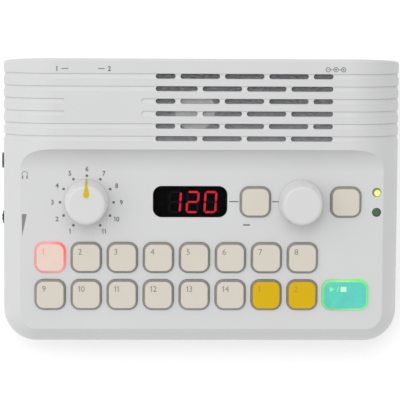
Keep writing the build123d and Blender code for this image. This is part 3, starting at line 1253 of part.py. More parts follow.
POT_TOP_Z = WHEEL_Z - WHEEL_THICK / 2 - POT_GAP
with BuildPart() as volume_control:
    with Locations((-WIDTH / 2 + WALL + POT_GAP, WHEEL_Y, MAIN_TOP_Z)):
        Box(POT_WIDTH, POT_WIDTH, POT_TOP_Z - MAIN_TOP_Z, align=(Align.MIN, Align.CENTER, Align.MIN))
    with BuildSketch(Plane.XY.offset(POT_TOP_Z)):
        with Locations((WHEEL_X, WHEEL_Y)):
            Circle(POT_SHAFT_R + SHAFT_RUNNING)
    extrude(amount=-POT_SHAFT, mode=Mode.SUBTRACT)
save(volume_control, "volume_control")

# ---- Inner leads ----------------------------------------------------------------------------------
SOCKET_TOP_Z = MAIN_TOP_Z + SOCKET_HEIGHT
ribbon_top = slope_to_world(RIBBON_X, RIBBON_V, BOARD_H - BOARD_THICK - SOCKET_HEIGHT)
ribbon_z = (ribbon_top.Z + SOCKET_TOP_Z) / 2  # height of its level run
ribbon_turn_y = ribbon_top.Y + (ribbon_top.Z - ribbon_z) * SIN / COS
ribbon_bend = min(RIBBON_BEND, (ribbon_z - SOCKET_TOP_Z) * RIBBON_BEND_SHARE)
with BuildPart() as board_ribbon:
    with BuildLine() as ribbon_route:
        FilletPolyline(
            ribbon_top,
            (RIBBON_X, ribbon_turn_y, ribbon_z),
            (RIBBON_X, SOCKET_Y, ribbon_z),
            (RIBBON_X, SOCKET_Y, SOCKET_TOP_Z),
            radius=ribbon_bend,
        )
    with BuildSketch(Plane(origin=ribbon_route.line @ 0, x_dir=(1, 0, 0), z_dir=ribbon_route.line % 0)):
        Rectangle(RIBBON_WIDTH, RIBBON_SHEET)
    sweep()
save(board_ribbon, "board_ribbon")

TAG_FOOT_H = BASKET_H - BASKET_FLANGE - TERMINAL_SIZE[2]
wire_turn_z = slope_to_world(TERMINAL_X, SPEAKER_V, TAG_FOOT_H).Z - WIRE_DROP
with BuildPart() as speaker_wires:
    for side in (-1, 1):
        start = slope_to_world(TERMINAL_X, SPEAKER_V + side * WIRE_SPREAD, TAG_FOOT_H)
        turn_y = start.Y + (start.Z - wire_turn_z) * SIN / COS
        end_point = (WIRE_X + side * WIRE_SPREAD, SOCKET_Y, SOCKET_TOP_Z)
        with BuildLine() as wire_route:
            FilletPolyline(
                start,
                (start.X, turn_y, wire_turn_z),
                (end_point[0], SOCKET_Y, SOCKET_TOP_Z + WIRE_RISE),
                end_point,
                radius=WIRE_BEND,
            )
        with BuildSketch(Plane(origin=wire_route.line @ 0, z_dir=wire_route.line % 0)):
            Circle(WIRE_R)
        sweep()
save(speaker_wires, "speaker_wires")
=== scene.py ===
"""Looks of a compact drum machine: finishes, key caps, printed marks, display digits and the studio.

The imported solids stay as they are. Each sub-assembly is a class: finishes() names what its solids wear,
and build() makes the thin pieces that the solids leave out. Places are in millimetres, either in the case's
own frame (x, y, z) or in the slope frame (x, v, h) that lies on the case's top plane.
"""

from __future__ import annotations

import logging
import math
from dataclasses import dataclass, field
from enum import Enum
from typing import Callable, Sequence

import bpy
from mathutils import Matrix, Vector


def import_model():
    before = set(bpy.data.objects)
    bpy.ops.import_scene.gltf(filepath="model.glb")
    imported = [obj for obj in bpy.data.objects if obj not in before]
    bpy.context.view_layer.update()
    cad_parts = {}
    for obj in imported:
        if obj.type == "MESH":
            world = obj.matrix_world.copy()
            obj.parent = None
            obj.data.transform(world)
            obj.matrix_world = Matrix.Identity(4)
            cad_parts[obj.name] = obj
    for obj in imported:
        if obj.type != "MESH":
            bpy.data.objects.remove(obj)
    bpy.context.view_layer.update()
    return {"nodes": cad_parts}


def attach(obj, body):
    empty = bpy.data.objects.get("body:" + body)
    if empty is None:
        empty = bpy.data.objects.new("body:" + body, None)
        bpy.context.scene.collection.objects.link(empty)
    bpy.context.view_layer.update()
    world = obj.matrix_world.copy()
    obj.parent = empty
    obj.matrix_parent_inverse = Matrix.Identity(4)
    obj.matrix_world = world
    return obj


LOG = logging.getLogger("drum_machine")
MM = 0.001
SHARP_DEG = 40.0  # edges that turn by more than this stay crisp
CORNER_STEPS = 6  # straight runs in a rounded corner
Point2 = tuple[float, float]
Point3 = tuple[float, float, float]
Colour = tuple[float, float, float]
Loop = Sequence[Point2]  # closed outline
Ring = list[int]  # indices of a face's or a loop's points
Glyph = tuple[list[Point3], list[Ring], float]  # points, faces and width
Nodes = dict[str, bpy.types.Object]
Socket = bpy.types.NodeSocket
Port = str | int  # name or number of a node's socket
Inputs = dict[Port, object]

BLACK: Colour = (0.0, 0.0, 0.0)
WHITE: Colour = (1.0, 1.0, 1.0)


class Body(Enum):
    """Bodies that this script names itself; a key's pieces ride on the key's own body."""

    CASE = "case"
    DOOR = "door"


class Grain(Enum):
    """A moulding tool's spark-eroded grain: its size and depth in millimetres."""

    FINE = (0.22, 0.010)
    MEDIUM = (0.35, 0.018)


# ---- Frames and mesh drafting ---------------------------------------------------------------------
def case_point(x: float, y: float, z: float) -> Vector:
    """World point, in metres, of a place given in case millimetres."""
    return Vector((x, y, z)) * MM


@dataclass(frozen=True)
class SlopeFrame:
    """Frame on the case's top plane: x to the right, v up the slope to the rear, h square to it."""

    slope_deg: float = 7.4
    depth: float = 146.0
    rear_height: float = 63.0
    panel_h: float = -6.6
    scoop_v: float = 14.8
    scoop_radius: float = 14.0

    def surface_h(self, v: float) -> float:
        """Height of the panel at v, following the hollow round at its rear."""
        run = min(max(v - self.scoop_v, 0.0), self.scoop_radius)
        return self.panel_h + self.scoop_radius - math.sqrt(self.scoop_radius**2 - run**2)

    def point(self, x: float, v: float, h: float) -> Vector:
        """World point of a slope-frame place.

        Args:
            x: Millimetres to the right of the middle.
            v: Millimetres up the slope.
            h: Millimetres out of the top plane.

        Returns:
            The point in metres.
        """
        sine = math.sin(math.radians(self.slope_deg))
        cosine = math.cos(math.radians(self.slope_deg))
        top_z = self.rear_height - self.depth / 2 * sine / cosine
        return case_point(x, v * cosine - h * sine, top_z + v * sine + h * cosine)


SLOPE = SlopeFrame()


@dataclass
class MeshDraft:
    """Points and faces of one piece, drawn through a function that turns millimetres into a point."""

    place: Callable[[float, float, float], Vector] = case_point
    points: list[Vector] = field(default_factory=list)
    faces: list[Ring] = field(default_factory=list)

    def ring(self, outline: Loop, height: float) -> Ring:
        """Add one ring of points at a height and return their indices."""
        self.points += [self.place(x, y, height) for x, y in outline]
        return list(range(len(self.points) - len(outline), len(self.points)))

    def wall(self, low: Ring, high: Ring) -> None:
        """Join two rings of equal length with quads."""
        corners = zip(low, low[1:] + low[:1], high[1:] + high[:1], high)
        self.faces += [list(quad) for quad in corners]

    def stack(self, rings: Sequence[tuple[Loop, float]]) -> None:
        """Add a closed skin over rings.

        Args:
            rings: Outline and height of each ring, from the lowest up.
        """
        made = [self.ring(outline, height) for outline, height in rings]
        for low, high in zip(made, made[1:]):
            self.wall(low, high)
        self.faces += [made[0][::-1], made[-1]]

    def prism(self, outline: Loop, low: float, high: float) -> None:
        """Add a closed prism between two heights."""
        self.stack([(outline, low), (outline, high)])

    def hoop(self, outer: Loop, inner: Loop, low: float, high: float) -> None:
        """Add a closed hoop.

        Args:
            outer: Its outer outline.
            inner: Its inner outline, with as many points.
            low: Height of its underside.
            high: Height of its top.
        """
        corners = ((outer, low), (outer, high), (inner, high), (inner, low))
        rings = [self.ring(outline, height) for outline, height in corners]
        for near, far in zip(rings, rings[1:] + rings[:1]):
            self.wall(near, far)

    def make(self, name: str, finish: bpy.types.Material) -> bpy.types.Object:
        """Turn the draft into an object.

        Args:
            name: Name of the object.
            finish: Material of all its faces.

        Returns:
            The new object, linked to the scene.
        """
        mesh = bpy.data.meshes.new(name)
        mesh.from_pydata([tuple(point) for point in self.points], [], self.faces)
        mesh.validate()
        mesh.polygons.foreach_set("use_smooth", [True] * len(mesh.polygons))
        mesh.set_sharp_from_angle(angle=math.radians(SHARP_DEG))
        mesh.materials.append(finish)
        made = bpy.data.objects.new(name, mesh)
        bpy.context.scene.collection.objects.link(made)
        return made


def arc(middle: Point2, radii: Point2, degrees: Sequence[float]) -> list[Point2]:
    """Points of an ellipse round a middle, at the given angles."""
    (x, y), (wide, deep) = middle, radii
    return [(x + wide * math.cos(turn), y + deep * math.sin(turn)) for turn in map(math.radians, degrees)]


def circle(middle: Point2, radius: float, count: int) -> list[Point2]:
    """Circle of count points, anticlockwise."""
    return arc(middle, (radius, radius), [360.0 * index / count for index in range(count)])


def rounded(middle: Point2, size: Point2, radius: float) -> list[Point2]:
    """Rounded rectangle, anticlockwise.

    Args:
        middle: Its middle.
        size: Its width and depth.
        radius: Corner radius.

    Returns:
        The outline's points.
    """
    points: list[Point2] = []
    for quarter, (sign_x, sign_y) in enumerate(((1, 1), (-1, 1), (-1, -1), (1, -1))):
        corner = (middle[0] + sign_x * (size[0] / 2 - radius), middle[1] + sign_y * (size[1] / 2 - radius))
        degrees = [90.0 * (quarter + step / CORNER_STEPS) for step in range(CORNER_STEPS + 1)]
        points += arc(corner, (radius, radius), degrees)
    return points


@dataclass(frozen=True)
class Lettering:
    """Plain numerals cut from the built-in face, narrowed to the printed width."""

    height: float = 3.05
    narrowing: float = 1.0
    weight: float = 0.0
    gap: float = 0.55
    thickness: float = 0.04
    stroke: float = 0.15

    def digit(self, sign: str) -> Glyph:
        """Mesh of one digit, with its left foot at zero.

        Args:
            sign: The digit.

        Returns:
            Its points, its faces and its width, in millimetres.
        """
        if sign == "1":
            return self.one()
        curve = bpy.data.curves.new("numeral", "FONT")
        curve.body = sign
        curve.resolution_u = 4
        curve.offset = self.weight
        curve.extrude = 0.5
        holder = bpy.data.objects.new("numeral", curve)
        bpy.context.scene.collection.objects.link(holder)
        flat = bpy.data.meshes.new_from_object(holder.evaluated_get(bpy.context.evaluated_depsgraph_get()))
        bpy.data.objects.remove(holder)
        bpy.data.curves.remove(curve)
        places = [vertex.co.copy() for vertex in flat.vertices]
        faces = [list(polygon.vertices) for polygon in flat.polygons]
        bpy.data.meshes.remove(flat)
        left, right = min(place.x for place in places), max(place.x for place in places)
        foot, head = min(place.y for place in places), max(place.y for place in places)
        scale = self.height / (head - foot)
        across = scale * self.narrowing
        points = [((at.x - left) * across, (at.y - foot) * scale, at.z * self.thickness) for at in places]
        return points, faces, (right - left) * across

    def one(self) -> Glyph:
        """Mesh of the digit 1, an upright stroke with a short flag.

        Returns:
            Its points, its faces and its width, in millimetres.
        """
        thick = self.stroke * self.height
        right, top = 0.30 * self.height, self.height
        left = right - thick
        flag = [(left + thick / 3, top), (0.0, 0.80 * top), (0.0, 0.68 * top), (left, 0.82 * top)]
        draft = MeshDraft(lambda x, y, z: Vector((x, y, z)))
        draft.prism([(left, 0.0), (right, 0.0), (right, top), *flag], -self.thickness / 2, self.thickness / 2)
        return [tuple(point) for point in draft.points], draft.faces, right

    def draft(
        self, text: str, place: Point2, surface: Callable[[float], float], centred: bool = False
    ) -> MeshDraft:
        """Mesh of a numeral that lies on a surface of the slope frame.

        Args:
            text: Digits to set.
            place: Left end of its base line, or the base line's middle if centred.
            surface: Height of the surface at a v.
            centred: Whether place is the middle.

        Returns:
            A draft with the numeral's digits.
        """
        digits = [self.digit(sign) for sign in text]
        width = sum(advance for _, _, advance in digits) + self.gap * (len(digits) - 1)
        start = place[0] - width / 2 if centred else place[0]
        made = MeshDraft(SLOPE.point)
        for points, faces, advance in digits:
            first = len(made.points)
            for x, y, z in points:
                v = place[1] + y
                made.points.append(SLOPE.point(start + x, v, surface(v) + z))
            made.faces += [[first + corner for corner in face] for face in faces]
            start += advance + self.gap
        return made


# ---- Finishes -------------------------------------------------------------------------------------
def toned(colour: Colour, factor: float) -> Colour:
    """The colour, lighter or darker by a factor."""
    return tuple(min(1.0, part * factor) for part in colour)


class ShaderDraft:
    """A Principled material under construction, with coordinates in millimetres."""

    def __init__(self, name: str) -> None:
        """Start a material.

        Args:
            name: Its name.
        """
        self.material = bpy.data.materials.new(name)
        self.material.use_nodes = True
        self.tree = self.material.node_tree
        self.surface = self.tree.nodes["Principled BSDF"]
        metres = self.node("TexCoord", "Object", {})
        self.place = self.node("VectorMath", 0, {0: metres, "Scale": 1.0 / MM}, operation="SCALE")
        self.normal: Socket | None = None

    def feed(self, node: bpy.types.Node, inputs: Inputs) -> None:
        """Link or set inputs of a node.

        Args:
            node: The node.
            inputs: Socket or value of each input.
        """
        for port, value in inputs.items():
            if isinstance(value, Socket):
                self.tree.links.new(value, node.inputs[port])
            else:
                node.inputs[port].default_value = value

    def node(self, kind: str, output: Port, inputs: Inputs, **settings: object) -> Socket:
        """Add a node.

        Args:
            kind: Its type, without the prefix that all shader nodes share.
            output: The output to return.
            inputs: Socket or value of each input.
            settings: Its own properties.

        Returns:
            The output.
        """
        made = self.tree.nodes.new(f"ShaderNode{kind}")
        for key, value in settings.items():
            setattr(made, key, value)
        self.feed(made, inputs)
        return made.outputs[output]

    def set(self, **values: object) -> None:
        """Give the shader's own inputs sockets or uniform values; underscores stand for spaces."""
        self.feed(self.surface, {key.replace("_", " "): value for key, value in values.items()})

    def noise(self, size: float, detail: float = 2.0, stretch: Point3 = (1.0, 1.0, 1.0)) -> Socket:
        """Cloudy noise from 0 to 1.

        Args:
            size: About the size of its features, in millimetres.
            detail: Number of finer octaves.
            stretch: Factors of the size along x, y and z.

        Returns:
            The noise.
        """
        scale = tuple(1.0 / (size * part) for part in stretch)
        place = self.node("Mapping", 0, {"Vector": self.place, "Scale": scale})
        return self.node("TexNoise", "Fac", {"Vector": place, "Scale": 1.0, "Detail": detail})

    def wave(self, pitch: float, direction: str, distortion: float = 0.0) -> Socket:
        """Bands every pitch millimetres along a world axis, which waver with the distortion."""
        inputs = {"Scale": math.pi / 10.0 / pitch * 2.0, "Distortion": distortion, "Detail Scale": 1.0}
        return self.node("TexWave", "Fac", {"Vector": self.place, **inputs}, bands_direction=direction)

    def cells(self, size: float) -> Socket:
        """Distance from the middles of cells about size millimetres wide."""
        return self.node("TexVoronoi", "Distance", {"Vector": self.place, "Scale": 1.0 / size})

    def spread(self, source: Socket, low: float, high: float, start: float = 0.0, end: float = 1.0) -> Socket:
        """Map a factor from start…end onto low…high, held at its ends."""
        inputs = {"Value": source, "From Min": start, "From Max": end, "To Min": low, "To Max": high}
        return self.node("MapRange", 0, inputs)

    def combine(self, operation: str, first: Socket, second: Socket | float = 0.0) -> Socket:
        """Result of a maths operation."""
        return self.node("Math", 0, {0: first, 1: second}, operation=operation)

    def blend(self, factor: Socket, first: Socket | Colour, second: Socket | Colour) -> Socket:
        """Mix of two colours."""
        ends = [(*end, 1.0) if isinstance(end, tuple) else end for end in (first, second)]
        return self.node("Mix", 2, {"Factor": factor, 6: ends[0], 7: ends[1]}, data_type="RGBA")

    def mottled(self, factor: Socket, tint: Colour, low: float, high: float) -> Socket:
        """A tint that goes from low to high times its brightness with a factor."""
        return self.blend(factor, toned(tint, low), toned(tint, high))

    def bump(self, height: Socket, depth: float, strength: float = 1.0) -> None:
        """Add relief on top of what is there.

        Args:
            height: Its height, from 0 to 1.
            depth: Its depth in millimetres.
            strength: Share of it that shows.
        """
        inputs: Inputs = {"Height": height, "Distance": depth * MM, "Strength": strength}
        if self.normal is not None:
            inputs["Normal"] = self.normal
        self.normal = self.node("Bump", 0, inputs)
        self.set(Normal=self.normal)

    def edges(self) -> Socket:
        """Factor that rises on rubbed convex edges."""
        return self.spread(self.node("NewGeometry", "Pointiness", {}), 0.0, 1.0, 0.50, 0.60)

    def vector(self, operation: str, output: Port, first: Socket, second: Vector) -> Socket:
        """Output of a vector operation on a socket and a fixed vector."""
        return self.node("VectorMath", output, {0: first, 1: tuple(second)}, operation=operation)

    def distance_from(self, centre: Vector) -> Socket:
        """Distance in millimetres from a world point."""
        return self.vector("DISTANCE", "Value", self.place, centre / MM)

    def along(self, centre: Vector, direction: Vector) -> Socket:
        """Signed distance in millimetres from a world point along a direction."""
        offset = self.vector("SUBTRACT", 0, self.place, centre / MM)
        return self.vector("DOT_PRODUCT", "Value", offset, direction.normalized())


@dataclass(frozen=True)
class Finish:
    """Named recipe of a material. Its numbers are sizes in millimetres and shares from 0 to 1."""

    name: str
    tint: Colour

    def paint(self, draft: ShaderDraft) -> None:
        """Draw the recipe on a fresh material."""
        raise NotImplementedError

    def material(self) -> bpy.types.Material:
        """Build the material.

        Returns:
            The new material.
        """
        draft = ShaderDraft(self.name)
        self.paint(draft)
        return draft.material


@dataclass(frozen=True)
class MouldedPlastic(Finish):
    """Injection-moulded plastic: eroded grain, faint flow clouds, rubbed edges."""

    roughness: float = 0.48
    grain: Grain = Grain.FINE
    wear: float = 0.05
    sheen: float = 0.0
    specular: float = 0.42
    clouds: float = 0.03
    polish: float = 0.07

    def paint(self, draft: ShaderDraft) -> None:
        """Draw clouds, specks, rubbed edges, smudges, grain and a faint waviness.

        Args:
            draft: The material.
        """
        size, depth = self.grain.value
        clouded = draft.mottled(draft.noise(34.0, 3.0), self.tint, 1 - self.clouds, 1 + self.clouds)
        specks = draft.spread(draft.noise(size * 2.2, 1.0), 0.0, 0.35, 0.45, 0.75)
        speckled = draft.blend(specks, clouded, toned(self.tint, 0.94))
        rubbed = draft.combine("MULTIPLY", draft.edges(), self.wear * 4)
        smudges = draft.noise(18.0, 4.0, (1.0, 1.6, 1.0))
        low, high = self.roughness - self.polish, self.roughness + self.polish
        draft.bump(draft.noise(size, 3.0), depth, 0.8)
        draft.bump(draft.noise(26.0, 1.0), 0.03, 0.6)
        draft.set(
            Base_Color=draft.blend(rubbed, speckled, toned(self.tint, 1.12)),
            Roughness=draft.spread(smudges, low, high, 0.3, 0.7),
            Specular_IOR_Level=self.specular,
            Sheen_Weight=self.sheen,
        )


@dataclass(frozen=True)
class PaintedCap(Finish):
    """Painted key top: soft satin paint, a glow from the light under it, faint finger polish."""

    middle: Vector
    glow: Colour = BLACK
    glow_strength: float = 0.0
    far_tint: Colour | None = None

    def paint(self, draft: ShaderDraft) -> None:
        """Draw clouds, a shift of tint towards the far corner, grain, polish and the glow.

        Args:
            draft: The material.
        """
        base = draft.mottled(draft.noise(6.0, 3.0), self.tint, 0.975, 1.02)
        if self.far_tint is not None:
            across = draft.along(self.middle, Vector((1.0, -0.5, 0.0)))
            base = draft.blend(draft.spread(across, 0.0, 1.0, -8.0, 9.0), base, self.far_tint)
        grain = draft.noise(0.45)
        draft.bump(grain, 0.012, 0.7)
        draft.set(
            Base_Color=draft.blend(draft.spread(grain, 0.0, 0.25, 0.5, 0.8), base, toned(self.tint, 0.93)),
            Roughness=draft.spread(draft.distance_from(self.middle), 0.36, 0.52, 1.0, 6.0),
            Specular_IOR_Level=0.2,
        )
        if self.glow_strength > 0:
            low, high = self.glow_strength * 0.7, self.glow_strength * 1.3
            draft.set(
                Emission_Strength=draft.spread(draft.noise(5.0, 1.0), low, high, 0.3, 0.7),
                Emission_Color=(*self.glow, 1.0),
            )


@dataclass(frozen=True)
class KeyBody(Finish):
    """Translucent key body: tinted plastic that scatters light, brighter towards the light under it."""

    middle: Vector
    glow: Colour = BLACK
    glow_strength: float = 0.0
    glow_side: Vector = Vector((1.0, 0.4, 0.0))
    pallor: float = 0.45

    def paint(self, draft: ShaderDraft) -> None:
        """Draw streaks, bright edges, grain, scattering and the glow, palest away from its side.

        Args:
            draft: The material.
        """
        base = draft.mottled(draft.noise(2.4, 2.0, (1.0, 1.0, 3.0)), self.tint, 0.88, 1.1)
        edges = draft.combine("MULTIPLY", draft.edges(), 0.35)
        draft.bump(draft.noise(0.3), 0.006, 0.8)
        draft.set(
            Base_Color=draft.blend(edges, base, toned(self.tint, 1.5)),
            Roughness=draft.spread(draft.noise(1.2), 0.26, 0.42),
            Subsurface_Weight=0.25,
            Subsurface_Scale=1.2 * MM,
            Subsurface_Radius=(1.0, 0.8, 0.7),
        )
        if self.glow_strength > 0:
            sideways = draft.along(self.middle, self.glow_side)
            low, high = self.glow_strength * 0.75, self.glow_strength * 1.35
            pale = tuple(part + (1.0 - part) * self.pallor for part in self.glow)
            draft.set(
                Emission_Strength=draft.spread(sideways, low, high, -7.0, 8.0),
                Emission_Color=draft.blend(draft.spread(sideways, 0.0, 1.0, 2.0, 8.5), pale, self.glow),
            )


@dataclass(frozen=True)
class SmokedWindow(Finish):
    """Smoked acrylic: nearly black, clear enough to show what glows behind it, with hairline marks."""

    tint: Colour = (0.002, 0.002, 0.0024)
    cover: float = 0.42

    def paint(self, draft: ShaderDraft) -> None:
        """Draw hairlines and a faint waviness.

        Args:
            draft: The material.
        """
        hairlines = draft.noise(0.5, 4.0, (9.0, 1.0, 1.0))
        draft.bump(draft.noise(14.0, 1.0), 0.01, 0.3)
        draft.set(
            Base_Color=draft.mottled(hairlines, self.tint, 1.0, 1.6),
            Roughness=draft.spread(hairlines, 0.05, 0.13, 0.4, 0.8),
            Alpha=self.cover,
            Specular_IOR_Level=0.05,
        )


@dataclass(frozen=True)
class GlowingSegment(Finish):
    """Light bar of the display: brighter in places, with a diffusing grain."""

    strength: float = 0.0

    def paint(self, draft: ShaderDraft) -> None:
        """Draw the grain and the glow.

        Args:
            draft: The material.
        """
        grain = draft.noise(0.4)
        low, high = self.strength * 0.8, self.strength * 1.2
        draft.bump(grain, 0.01)
        draft.set(
            Base_Color=draft.mottled(grain, self.tint, 0.25, 0.35),
            Roughness=0.5,
            Emission_Color=draft.mottled(grain, self.tint, 0.9, 1.0),
            Emission_Strength=draft.spread(draft.noise(2.6, 1.0), low, high, 0.3, 0.7),
        )


@dataclass(frozen=True)
class PrintInk(Finish):
    """Screen-printed ink: matt, a little thin in places."""

    glow_strength: float = 0.0

    def paint(self, draft: ShaderDraft) -> None:
        """Draw thin places, relief and the glow.

        Args:
            draft: The material.
        """
        thin = draft.noise(0.7, 3.0)
        draft.bump(draft.noise(0.3), 0.008)
        draft.set(
            Base_Color=draft.mottled(draft.spread(thin, 0.0, 1.0, 0.4, 0.8), self.tint, 1.0, 1.35),
            Roughness=draft.spread(thin, 0.5, 0.68),
        )
        if self.glow_strength > 0:
            draft.set(
                Emission_Color=draft.mottled(thin, self.tint, 0.9, 1.0),
                Emission_Strength=draft.spread(thin, self.glow_strength * 0.8, self.glow_strength * 1.2),
            )


@dataclass(frozen=True)
class SpeakerCloth(Finish):
    """Knitted cloth over the speaker: crossing yarns, stray fibres, and the pale dust cap behind it."""

    shown_tint: Colour
    cap_middle: Vector
    cap_radius: float = 10.25
    yarn: float = 0.5

    def paint(self, draft: ShaderDraft) -> None:
        """Draw fibres, tufts, a lightening towards the player, the dust cap and the weave.

        Args:
            draft: The material.
        """
        fibres = draft.noise(0.9, 5.0, (2.6, 1.0, 1.0))
        tufts = draft.spread(draft.noise(2.2, 4.0), 0.0, 0.7, 0.35, 0.7)
        dark = draft.mottled(draft.spread(fibres, 0.0, 1.0, 0.35, 0.68), self.tint, 0.42, 1.65)
        lit = draft.mottled(draft.spread(fibres, 0.0, 1.0, 0.35, 0.7), self.shown_tint, 0.82, 1.0)
        # the cloth grows lighter towards the player, from 18 mm behind the cap's middle to 16 mm in front of
        # it
        dust = draft.spread(draft.along(self.cap_middle, Vector((0.0, -1.0, 0.0))), 0.0, 0.55, -18.0, 16.0)
        cloth = draft.blend(dust, draft.blend(tufts, dark, toned(self.tint, 0.8)), toned(self.tint, 1.9))
        away = draft.distance_from(self.cap_middle)
        behind = draft.spread(away, 1.0, 0.0, self.cap_radius - 0.3, self.cap_radius + 0.5)
        weave = draft.combine("MAXIMUM", draft.wave(self.yarn, "X", 0.6), draft.wave(self.yarn, "Y", 0.6))
        draft.bump(weave, 0.10, 0.8)
        draft.bump(fibres, 0.12, 0.8)
        draft.set(
            Base_Color=draft.blend(behind, cloth, lit),
            Roughness=draft.spread(fibres, 0.78, 0.96),
            Sheen_Weight=0.25,
            Sheen_Roughness=0.5,
            Specular_IOR_Level=0.2,
        )


@dataclass(frozen=True)
class Rubber(Finish):
    """Moulded rubber or silicone: matt, with fine pits and a dusty bloom."""

    roughness: float = 0.75
    translucence: float = 0.0

    def paint(self, draft: ShaderDraft) -> None:
        """Draw the bloom and the pits.

        Args:
            draft: The material.
        """
        bloom = draft.noise(7.0, 4.0)
        draft.bump(draft.noise(0.5, 3.0), 0.04, 0.7)
        draft.set(
            Base_Color=draft.mottled(draft.spread(bloom, 0.0, 1.0, 0.4, 0.8), self.tint, 1.0, 1.6),
            Roughness=draft.spread(bloom, self.roughness - 0.1, self.roughness + 0.1),
            Subsurface_Weight=self.translucence,
            Subsurface_Scale=2.0 * MM,
            Specular_IOR_Level=0.3,
        )


@dataclass(frozen=True)
class WorkedMetal(Finish):
    """Plated or turned metal: fine tool lines, a few dull spots."""

    roughness: float = 0.34
    painted: bool = False

    def paint(self, draft: ShaderDraft) -> None:
        """Draw the tool lines and the spots.

        Args:
            draft: The material.
        """
        lines = draft.noise(0.25, 3.0, (1.0, 1.0, 12.0))
        spots = draft.spread(draft.noise(3.0, 4.0), 0.0, 0.6, 0.6, 0.8)
        draft.bump(lines, 0.008, 0.8)
        draft.set(
            Base_Color=draft.blend(spots, draft.mottled(lines, self.tint, 0.8, 1.12), toned(self.tint, 0.55)),
            Roughness=draft.spread(lines, self.roughness - 0.08, self.roughness + 0.14),
            Metallic=0.0 if self.painted else 1.0,
        )


@dataclass(frozen=True)
class CircuitBoard(Finish):
    """Solder-masked board: copper tracks under the mask, tinned pads and vias."""

    tint: Colour = (0.010, 0.120, 0.050)
    tin: Colour = (0.62, 0.60, 0.52)

    def paint(self, draft: ShaderDraft) -> None:
        """Draw the pads and the tracks.

        Args:
            draft: The material.
        """
        pads = draft.spread(draft.cells(3.1), 1.0, 0.0, 0.12, 0.17)
        tracks_x = draft.spread(draft.wave(2.54, "X", 3.0), 0.0, 1.0, 0.78, 0.86)
        tracks_y = draft.spread(draft.wave(3.81, "Y", 4.0), 0.0, 1.0, 0.80, 0.88)
        tracks = draft.combine("MAXIMUM", tracks_x, tracks_y)
        draft.bump(tracks, 0.05, 0.8)
        draft.bump(pads, 0.04, 0.8)
        draft.set(
            Base_Color=draft.blend(pads, draft.mottled(tracks, self.tint, 1.0, 2.2), self.tin),
            Metallic=pads,
            Roughness=draft.spread(draft.noise(4.0, 3.0), 0.24, 0.42),
        )


@dataclass(frozen=True)
class SpeakerPaper(Finish):
    """Pressed paper cone: long fibres and faint pressed rings, with a paler dust cap."""

    cap_tint: Colour
    cap_middle: Vector
    cap_radius: float
    ring_phase: float = 4.5  # radians per millimetre from the middle

    def paint(self, draft: ShaderDraft) -> None:
        """Draw the fibres, the cap and the rings.

        Args:
            draft: The material.
        """
        fibres = draft.noise(0.8, 6.0, (3.0, 1.0, 1.0))
        away = draft.distance_from(self.cap_middle)
        cap = draft.spread(away, 1.0, 0.0, self.cap_radius - 0.2, self.cap_radius + 0.2)
        paper = draft.mottled(fibres, self.tint, 0.7, 1.4)
        rings = draft.combine("SINE", draft.combine("MULTIPLY", away, self.ring_phase))
        draft.bump(rings, 0.05, 0.5)
        draft.bump(fibres, 0.05, 0.7)
        draft.set(
            Base_Color=draft.blend(cap, paper, draft.mottled(fibres, self.cap_tint, 0.85, 1.1)),
            Roughness=0.86,
            Sheen_Weight=0.1,
            Specular_IOR_Level=0.2,
        )


@dataclass(frozen=True)
class Cable(Finish):
    """Insulated lead: ribbed along its wires, slightly waxy."""

    stripe: Colour
    pitch: float = 1.27

    def paint(self, draft: ShaderDraft) -> None:
        """Draw the ribs, the stripes between them and the wax.

        Args:
            draft: The material.
        """
        ribs = draft.wave(self.pitch, "X")
        wax = draft.noise(3.0, 3.0)
        body = draft.mottled(wax, self.tint, 0.9, 1.08)
        draft.bump(ribs, 0.25, 0.8)
        draft.set(
            Base_Color=draft.blend(draft.spread(ribs, 1.0, 0.0, 0.02, 0.14), body, self.stripe),
            Roughness=draft.spread(wax, 0.34, 0.5),
        )


@dataclass(frozen=True)
class LampLens(Finish):
    """Tinted epoxy lamp: clear skin over a cup that glows in its middle when lit."""

    middle: Vector
    radius: float
    glow: Colour = BLACK
    glow_strength: float = 0.0

    def paint(self, draft: ShaderDraft) -> None:
        """Draw the dark rim, the skin and the glow.

        Args:
            draft: The material.
        """
        away = draft.distance_from(self.middle)
        rim = draft.spread(away, 0.0, 1.0, self.radius * 0.55, self.radius * 1.02)
        inside = draft.mottled(draft.noise(0.8), self.tint, 0.8, 1.25)
        draft.bump(draft.noise(1.4, 1.0), 0.01, 0.4)
        draft.set(
            Base_Color=draft.blend(rim, inside, toned(self.tint, 0.18)),
            Roughness=0.16,
            Coat_Weight=0.6,
            Coat_Roughness=0.05,
        )
        if self.glow_strength > 0:
            bright, faint = self.glow_strength, self.glow_strength * 0.15
            draft.set(
                Emission_Strength=draft.spread(away, bright, faint, 1.0, self.radius * 1.1),
                Emission_Color=draft.blend(rim, self.glow, self.tint),
            )


# ---- Sub-assemblies -------------------------------------------------------------------------------
Finishes = dict[tuple[str, ...], Finish]


@dataclass(frozen=True)
class Piece:
    """A finished object, the body that it moves with and the name of its slot."""

    thing: bpy.types.Object
    body: str
    slot: str


class SubAssembly:
    """Part of the drum machine that dresses its solids and builds its own thin pieces."""

    def finishes(self) -> Finishes:
        """Finish of each group of solids, by their names."""
        return {}

    def build(self) -> list[Piece]:
        """Pieces that the solids leave out."""
        return []

    def dress(self, nodes: Nodes) -> None:
        """Give the solids their finishes, on every material slot.

        Args:
            nodes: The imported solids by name.
        """
        for names, finish in self.finishes().items():
            material = finish.material()
            for solid in (nodes[name] for name in names):
                if not solid.material_slots:
                    solid.data.materials.append(material)
                for slot in solid.material_slots:
                    slot.material = material


